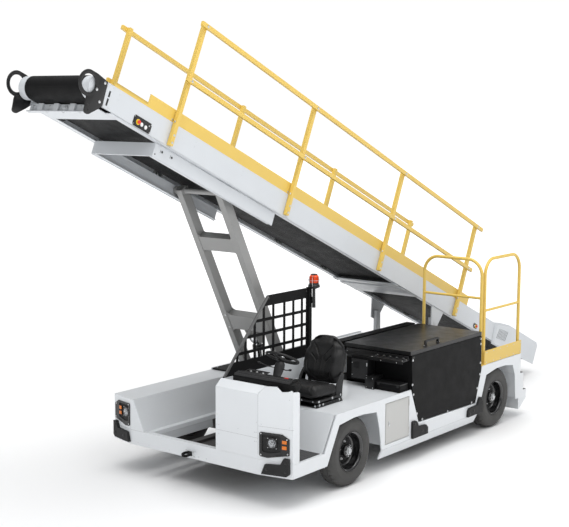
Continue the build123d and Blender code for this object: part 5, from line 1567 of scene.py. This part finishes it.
# hair seams of the driver's front corner
add_box(bm, (945.0, 264, 592.5), (945.5, 742, 594.5), 0, 1, 0, st)
for y, z in ((300, 640), (706, 640), (300, 560), (706, 560)):
    add_box(bm, (945.0, y - 3, z - 3), (945.6, y + 3, z + 3), 0.2, 1, 0, st)
to, nrm = facet(1)
add_prism(bm, [(0, 700.5), (290.4, 700.5), (290.4, 702.5), (0, 702.5)], 0, 0.5, 0, 1, 0, to)
add_prism(bm, [(0.0, 452), (1.6, 452), (1.6, 972), (0.0, 972)], 0, 0.5, 0, 1, 0, to)
add_box(bm, (866, 1072, 700.5), (880, 1072.5, 702.5), 0, 1, 0, st)
# seams of the right front corner
to_r, nrm_r = facet(-1)
add_prism(bm, [(0, 409), (290.4, 409), (290.4, 411), (0, 411)], 0, 0.5, 0, 1, 0, to_r)
add_box(bm, (945.0, -789, 409), (945.5, -622, 411), 0, 1, 0, st)
# sill fold line and arch flange lines of both sides
for y in (1072.3, -1072.3):
    add_box(bm, (-2262, min(y, y * 1.0003), 228.5), (-472, max(y, y * 1.0003), 230.5), 0, 1, 0, st)
make("body_seams", bm, SEAM, "chassis")

bm = bmesh.new()
for y, z in ((724, 640), (724, 560), (278, 640), (278, 460), (520, 640)):
    add_dome(bm, st(945, y, z), (1, 0, 0), 0.0058, 0.0028, 0)
for y, z in ((728, 730), (278, 730)):
    add_dome(bm, st(945, y, z), (1, 0, 0), 0.0050, 0.0025, 1)
for u, v in ((30, 720), (262, 720), (262, 960)):
    add_dome(bm, to(u, v, 0), nrm, 0.0050, 0.0025, 0)
for y in (-700, -560, -300, 60, 150):
    add_dome(bm, st(945, y, 300), (1, 0, 0), 0.0060, 0.003, 0)
make("body_screws", bm, [PALE, STEEL], "chassis", smooth=40)

# side panel bolts, both sides of the battery box, and two small black plates near its top
bm = bmesh.new()
for x, z in ((-992, 1000), (-992, 760), (-1012, 660), (-1080, 460), (-1180, 384), (-1660, 368), (-2140, 366), (-2250, 500), (-2300, 640), (-2306, 760), (-2306, 960), (-2306, 1015)):
    add_bolt(bm, st(x, 1072, z), (0, 1, 0), 0.0085, 0.0048, 0)
for x in (-1000, -2290):
    for z in (1024,):
        add_box(bm, (x - 20, 1072, z - 9), (x + 20, 1074.5, z + 9), 1.0, 1, 1, st)
make("side_panel_bolts", bm, [STEEL, SATIN_BLACK], "chassis", smooth=38)

# lid: folded edge shadow, bent bar handle with feet and bolts, hinge knuckles
bm = bmesh.new()
hz = 1087
hx0, hx1, hy = -1548, -1302, 1012
pts = [st(hx0, hy, hz + 2), st(hx0, hy, hz + 30)]
pts += arc_points(st(hx0 + 14, hy, hz + 34), 0.014, pi, pi / 2, 5, (1, 0, 0), (0, 0, 1))
pts += [st(hx0 + 60, hy, hz + 48), st(hx1 - 60, hy, hz + 48)]
pts += arc_points(st(hx1 - 14, hy, hz + 34), 0.014, pi / 2, 0, 5, (1, 0, 0), (0, 0, 1))
pts += [st(hx1, hy, hz + 30), st(hx1, hy, hz + 2)]
add_tube(bm, pts, 0.0095, 16, 0)
for hx in (hx0, hx1):
    add_box(bm, (hx - 24, hy - 16, hz), (hx + 24, hy + 16, hz + 4), 1.5, 2, 0, st)
    for dx in (-15, 15):
        add_bolt(bm, st(hx + dx, hy, hz + 4), (0, 0, 1), 0.0058, 0.0038, 1)
for x in (-2280, -1640, -990):
    add_box(bm, (x - 46, 300.5, 1052), (x + 46, 303, 1084), 0.8, 1, 0, st)
# turned-down rim of the lid
add_box(bm, (-2316, 1071.2, 1050.5), (-954, 1072.6, 1056), 0, 1, 0, st)
make("battery_lid_handle", bm, [SATIN_BLACK, STEEL], "battery_lid", smooth=40)

# locker door: frame shadow, oval latch with key slot, hinges
bm = bmesh.new()
d_lo, d_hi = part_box("locker_door")
yd = d_hi.y
cen = Vector((FA - 0.590, yd, 0.458))
ov = [(0.013 * cos(2 * pi * i / 24), 0.026 * sin(2 * pi * i / 24)) for i in range(24)]
add_prism(bm, ov, 0.0, 0.004, 0.0008, 2, 0, lambda u, v, d: cen + Vector((u, d, v)))
add_lathe(bm, [(0.0095, 0.003), (0.0095, 0.0065), (0.0080, 0.0075), (0.0, 0.0078)], cen, (0, 1, 0), 20, 0)
add_box(bm, (-0.0012, 0.0070, -0.005), (0.0012, 0.0084, 0.005), 0, 1, 1, lambda a, b, c: cen + Vector((a, b, c)))
for z in (0.330, 0.600):
    add_lathe(bm, [(0.0052, -0.030), (0.0052, 0.030)], Vector((d_lo.x + 0.006, yd + 0.003, z)), (0, 0, 1), 14, 2)
# pressed border
for lo_, hi_ in (((d_lo.x + 0.008, yd, d_lo.z + 0.008), (d_hi.x - 0.008, yd + 0.0012, d_lo.z + 0.0105)), ((d_lo.x + 0.008, yd, d_hi.z - 0.0105), (d_hi.x - 0.008, yd + 0.0012, d_hi.z - 0.008)),
                 ((d_lo.x + 0.008, yd, d_lo.z + 0.0105), (d_lo.x + 0.0105, yd + 0.0012, d_hi.z - 0.0105)), ((d_hi.x - 0.0105, yd, d_lo.z + 0.0105), (d_hi.x - 0.008, yd + 0.0012, d_hi.z - 0.0105))):
    add_box(bm, lo_, hi_, 0.0004, 1, 2)
make("locker_latch", bm, [STEEL, DARK, DOOR], "locker_door", smooth=40)

# rubber mat on the step floor with ribs
MAT = surface("rubber_mat", (0.055, 0.056, 0.058), 0.7, vary=0.12, bump=0.0008, bump_scale=260)
bm = bmesh.new()
add_prism(bm, [(436, 284), (926, 284), (926, 716), (858, 1030), (436, 1030)], 390, 394, 1.0, 1, 0, lambda u, v, d: st(u, v, d))
for i in range(22):
    y = 292 + i * 34
    x1 = 920 if y < 704 else 920 - (y - 704) * 0.24
    add_box(bm, (442, y, 394), (x1 - 6, y + 12, 396.5), 0.8, 1, 0, st)
make("step_mat", bm, MAT, "chassis", smooth=30)

# riser: two pressed ribs beside the step
bm = bmesh.new()
for y in (1018, 284):
    add_prism(bm, [(424, 392), (236, 700), (231, 697), (419, 389)], y, y + 8, 1.0, 1, 0, lambda u, v, d: st(u, d, v))
make("riser_ribs", bm, WHITE, "chassis", smooth=30)

# rear end: lamps, black step pads, bolts
bm = bmesh.new()
rx = -3208
for sgn in (1, -1):
    y0 = 780 if sgn > 0 else -940
    add_box(bm, (rx, y0, 560), (-3194, y0 + 160, 660), 3, 2, 0, st)
    for j, mt in ((0, 1), (1, 2)):
        add_box(bm, (rx - 5, y0 + 12 + j * 76, 576), (rx, y0 + 72 + j * 76, 644), 3, 2, mt, st)
    for dy in (6, 154):
        add_dome(bm, st(rx, y0 + dy, 650), (-1, 0, 0), 0.005, 0.003, 3)
for y in (-1050, 850):
    add_box(bm, (-3315, y, 486), (-3216, y + 200, 490), 1.5, 1, 4, st)
    add_box(bm, (-3385, y, 286), (-3320, y + 200, 289.5), 1.5, 1, 4, st)
    for i in range(6):
        add_box(bm, (-3308, y + 12 + i * 31, 490), (-3224, y + 28 + i * 31, 492), 0.6, 1, 4, st)
for y in (-980, -440, 440, 980):
    add_bolt(bm, st(-3316, y, 400), (-1, 0, 0), 0.011, 0.006, 3)
make("rear_lamps", bm, [SATIN_BLACK, TAIL_RED, ORANGE, STEEL, RUBBER], "chassis", smooth=35)

# guard rails of the rear deck: base flanges with bolts; kick plate lip
bm = bmesh.new()
for x, y in ((-2415, 1042), (-3171, 1042), (-2350, 345), (-2350, 1042)):
    add_lathe(bm, [(0.034, 0.0), (0.034, 0.006), (0.030, 0.008), (0.020, 0.0085), (0.0185, 0.022)], st(x, y, 718), (0, 0, 1), 28, 0)
for i in range(6):
    add_dome(bm, st(-2440 - i * 148, 1071, 742), (0, 1, 0), 0.0065, 0.003, 1)
    add_dome(bm, st(-2440 - i * 148, 1071, 846), (0, 1, 0), 0.0065, 0.003, 1)
add_tube(bm, [st(-2394 - i * 81, 1067, 864) for i in range(11)], 0.0045, 8, 0)
make("rear_guard_fittings", bm, [YELLOW, STEEL], "chassis", smooth=40)

# deck plates: edge bolts
bm = bmesh.new()
for x in (-2500, -2100, -1700, -1300, -900, -560):
    for y in (-1040, -620):
        add_dome(bm, st(x, y, 716), (0, 0, 1), 0.0075, 0.0035, 0)
for x in (-3170, -2900, -2600, -2360):
    for y in (230, 1030):
        add_dome(bm, st(x, y, 718), (0, 0, 1), 0.0075, 0.0035, 0)
for x in (-1380, -840, -2160, -1470):
    for y in (-500, 260):
        add_dome(bm, st(x, y, 458), (0, 0, 1), 0.0075, 0.0035, 0)
make("deck_bolts", bm, STEEL, "chassis", smooth=40)

# front channel: bumper face bolts, eye bracket nuts
bm = bmesh.new()
for y in (-84, 10):
    for z in (298, 342):
        add_bolt(bm, st(955, y, z), (1, 0, 0), 0.0058, 0.005, 0)
make("tow_eye_bolts", bm, STEEL, "chassis", smooth=38)

# knuckles and axle ends: castle nuts, grease nipples on top of each kingpin
for sgn, name in ((1, "left"), (-1, "right")):
    bm = bmesh.new()
    add_bolt(bm, st(-150, sgn * 785, 229), (0, 0, 1), 0.013, 0.010, 0)
    add_dome(bm, st(0, sgn * 880, 229.5), (0, 0, 1), 0.008, 0.005, 0)
    make("knuckle_bolts_" + name, bm, STEEL, "knuckle_" + name, smooth=38)

# belt: moulded cleats of the cover
bm = bmesh.new()
BELT_RIB = surface("belt_cover_rib", (0.024, 0.024, 0.025), 0.55, vary=0.1, bump=0.0005, bump_scale=500)
s_head, n_head, r_out = 2450.0, 128.0, 91.4
s_tail, n_tail, r_tail = -5640.0, 112.0, 81.4
for i in range(26):
    f = (i + 0.5) / 26
    s = s_tail + (s_head - s_tail) * f
    n = (n_tail + r_tail) + ((n_head + r_out) - (n_tail + r_tail)) * f
    add_box(bm, (-3.0, -320, -0.6), (3.0, 320, 1.2), 0.5, 1, 0, lambda a, b, c, s=s, n=n: cv(s + a, CONV_Y + b, n + c))
make("belt_cover_ribs", bm, BELT_RIB, "conveyor", smooth=40)


# ================================================================ floor and light
def studio_world(stops, strength):
    """Soft studio surround: brightness by elevation, white round the horizon."""
    w = bpy.data.worlds.new("world")
    bpy.context.scene.world = w
    w.use_nodes = True
    nt = w.node_tree
    bg = nt.nodes["Background"]
    tc = nt.nodes.new("ShaderNodeTexCoord")
    sep = nt.nodes.new("ShaderNodeSeparateXYZ")
    nt.links.new(tc.outputs["Generated"], sep.inputs["Vector"])
    r = ramp(nt, stops)
    nt.links.new(sep.outputs["Z"], r.inputs["Fac"])
    nt.links.new(r.outputs["Color"], bg.inputs["Color"])
    bg.inputs["Strength"].default_value = strength


studio_world([(0.0, (1.0, 1.0, 1.0)), (0.10, (1.0, 1.0, 1.0)), (0.20, (0.36, 0.365, 0.37)), (0.55, (0.42, 0.425, 0.43)), (0.80, (0.92, 0.925, 0.93)), (1.0, (1.0, 1.0, 1.0))], 1.03)

bm = bmesh.new()
R = 60.0
vs = [bm.verts.new((R * cos(2 * pi * i / 64), R * sin(2 * pi * i / 64), -0.0005)) for i in range(64)]
bm.faces.new(vs)
me = bpy.data.meshes.new("floor")
bm.to_mesh(me)
bm.free()
floor = bpy.data.objects.new("floor", me)
bpy.context.scene.collection.objects.link(floor)
FLOOR, nt, b = new_material("floor_pale")
b.inputs["Roughness"].default_value = 0.6
b.inputs["Specular IOR Level"].default_value = 0.25
co = mapped(nt)
nz = noise(nt, 0.15, 3, 0.5, co)
cr = ramp(nt, [(0.3, (0.955, 0.957, 0.96)), (0.7, (0.975, 0.977, 0.98))])
nt.links.new(nz.outputs["Fac"], cr.inputs["Fac"])
nt.links.new(cr.outputs["Color"], b.inputs["Base Color"])
# the floor brightens away from the machine, so that no horizon shows
tc = nt.nodes.new("ShaderNodeTexCoord")
ln = nt.nodes.new("ShaderNodeVectorMath")
ln.operation = "LENGTH"
nt.links.new(tc.outputs["Object"], ln.inputs[0])
far = nt.nodes.new("ShaderNodeMapRange")
far.interpolation_type = "SMOOTHSTEP"
far.inputs["From Min"].default_value = 3.5
far.inputs["From Max"].default_value = 12.0
far.inputs["To Min"].default_value = 0.0
far.inputs["To Max"].default_value = 0.55
nt.links.new(ln.outputs["Value"], far.inputs["Value"])
nt.links.new(far.outputs["Result"], b.inputs["Emission Strength"])
b.inputs["Emission Color"].default_value = (1.0, 1.0, 1.0, 1)
floor.data.materials.append(FLOOR)


def area(name, loc, target, size, energy, colour=(1, 1, 1), size_y=None):
    ld_ = bpy.data.lights.new(name, "AREA")
    ld_.shape = "RECTANGLE"
    ld_.size = size
    ld_.size_y = size_y or size
    ld_.energy = energy
    ld_.color = colour
    ob = bpy.data.objects.new(name, ld_)
    bpy.context.scene.collection.objects.link(ob)
    ob.location = loc
    ob.rotation_euler = (Vector(target) - Vector(loc)).to_track_quat("-Z", "Y").to_euler()
    return ob


area("top_light", (1.0, 1.5, 10.5), (0, 0, 0), 9.0, 640, (1.0, 1.0, 1.0), 7.0)
area("side_light", (4.8, 8.4, 7.4), (0, 0, 1.0), 6.0, 138, (1.0, 0.995, 0.99), 5.0)
area("front_fill", (11.0, 1.5, 3.0), (0, 0, 1.5), 5.0, 30, (0.98, 0.99, 1.0), 4.0)

sc = bpy.context.scene
sc.view_settings.view_transform = "Standard"
sc.view_settings.look = "None"
sc.view_settings.exposure = 0.0
sc.view_settings.gamma = 1.0
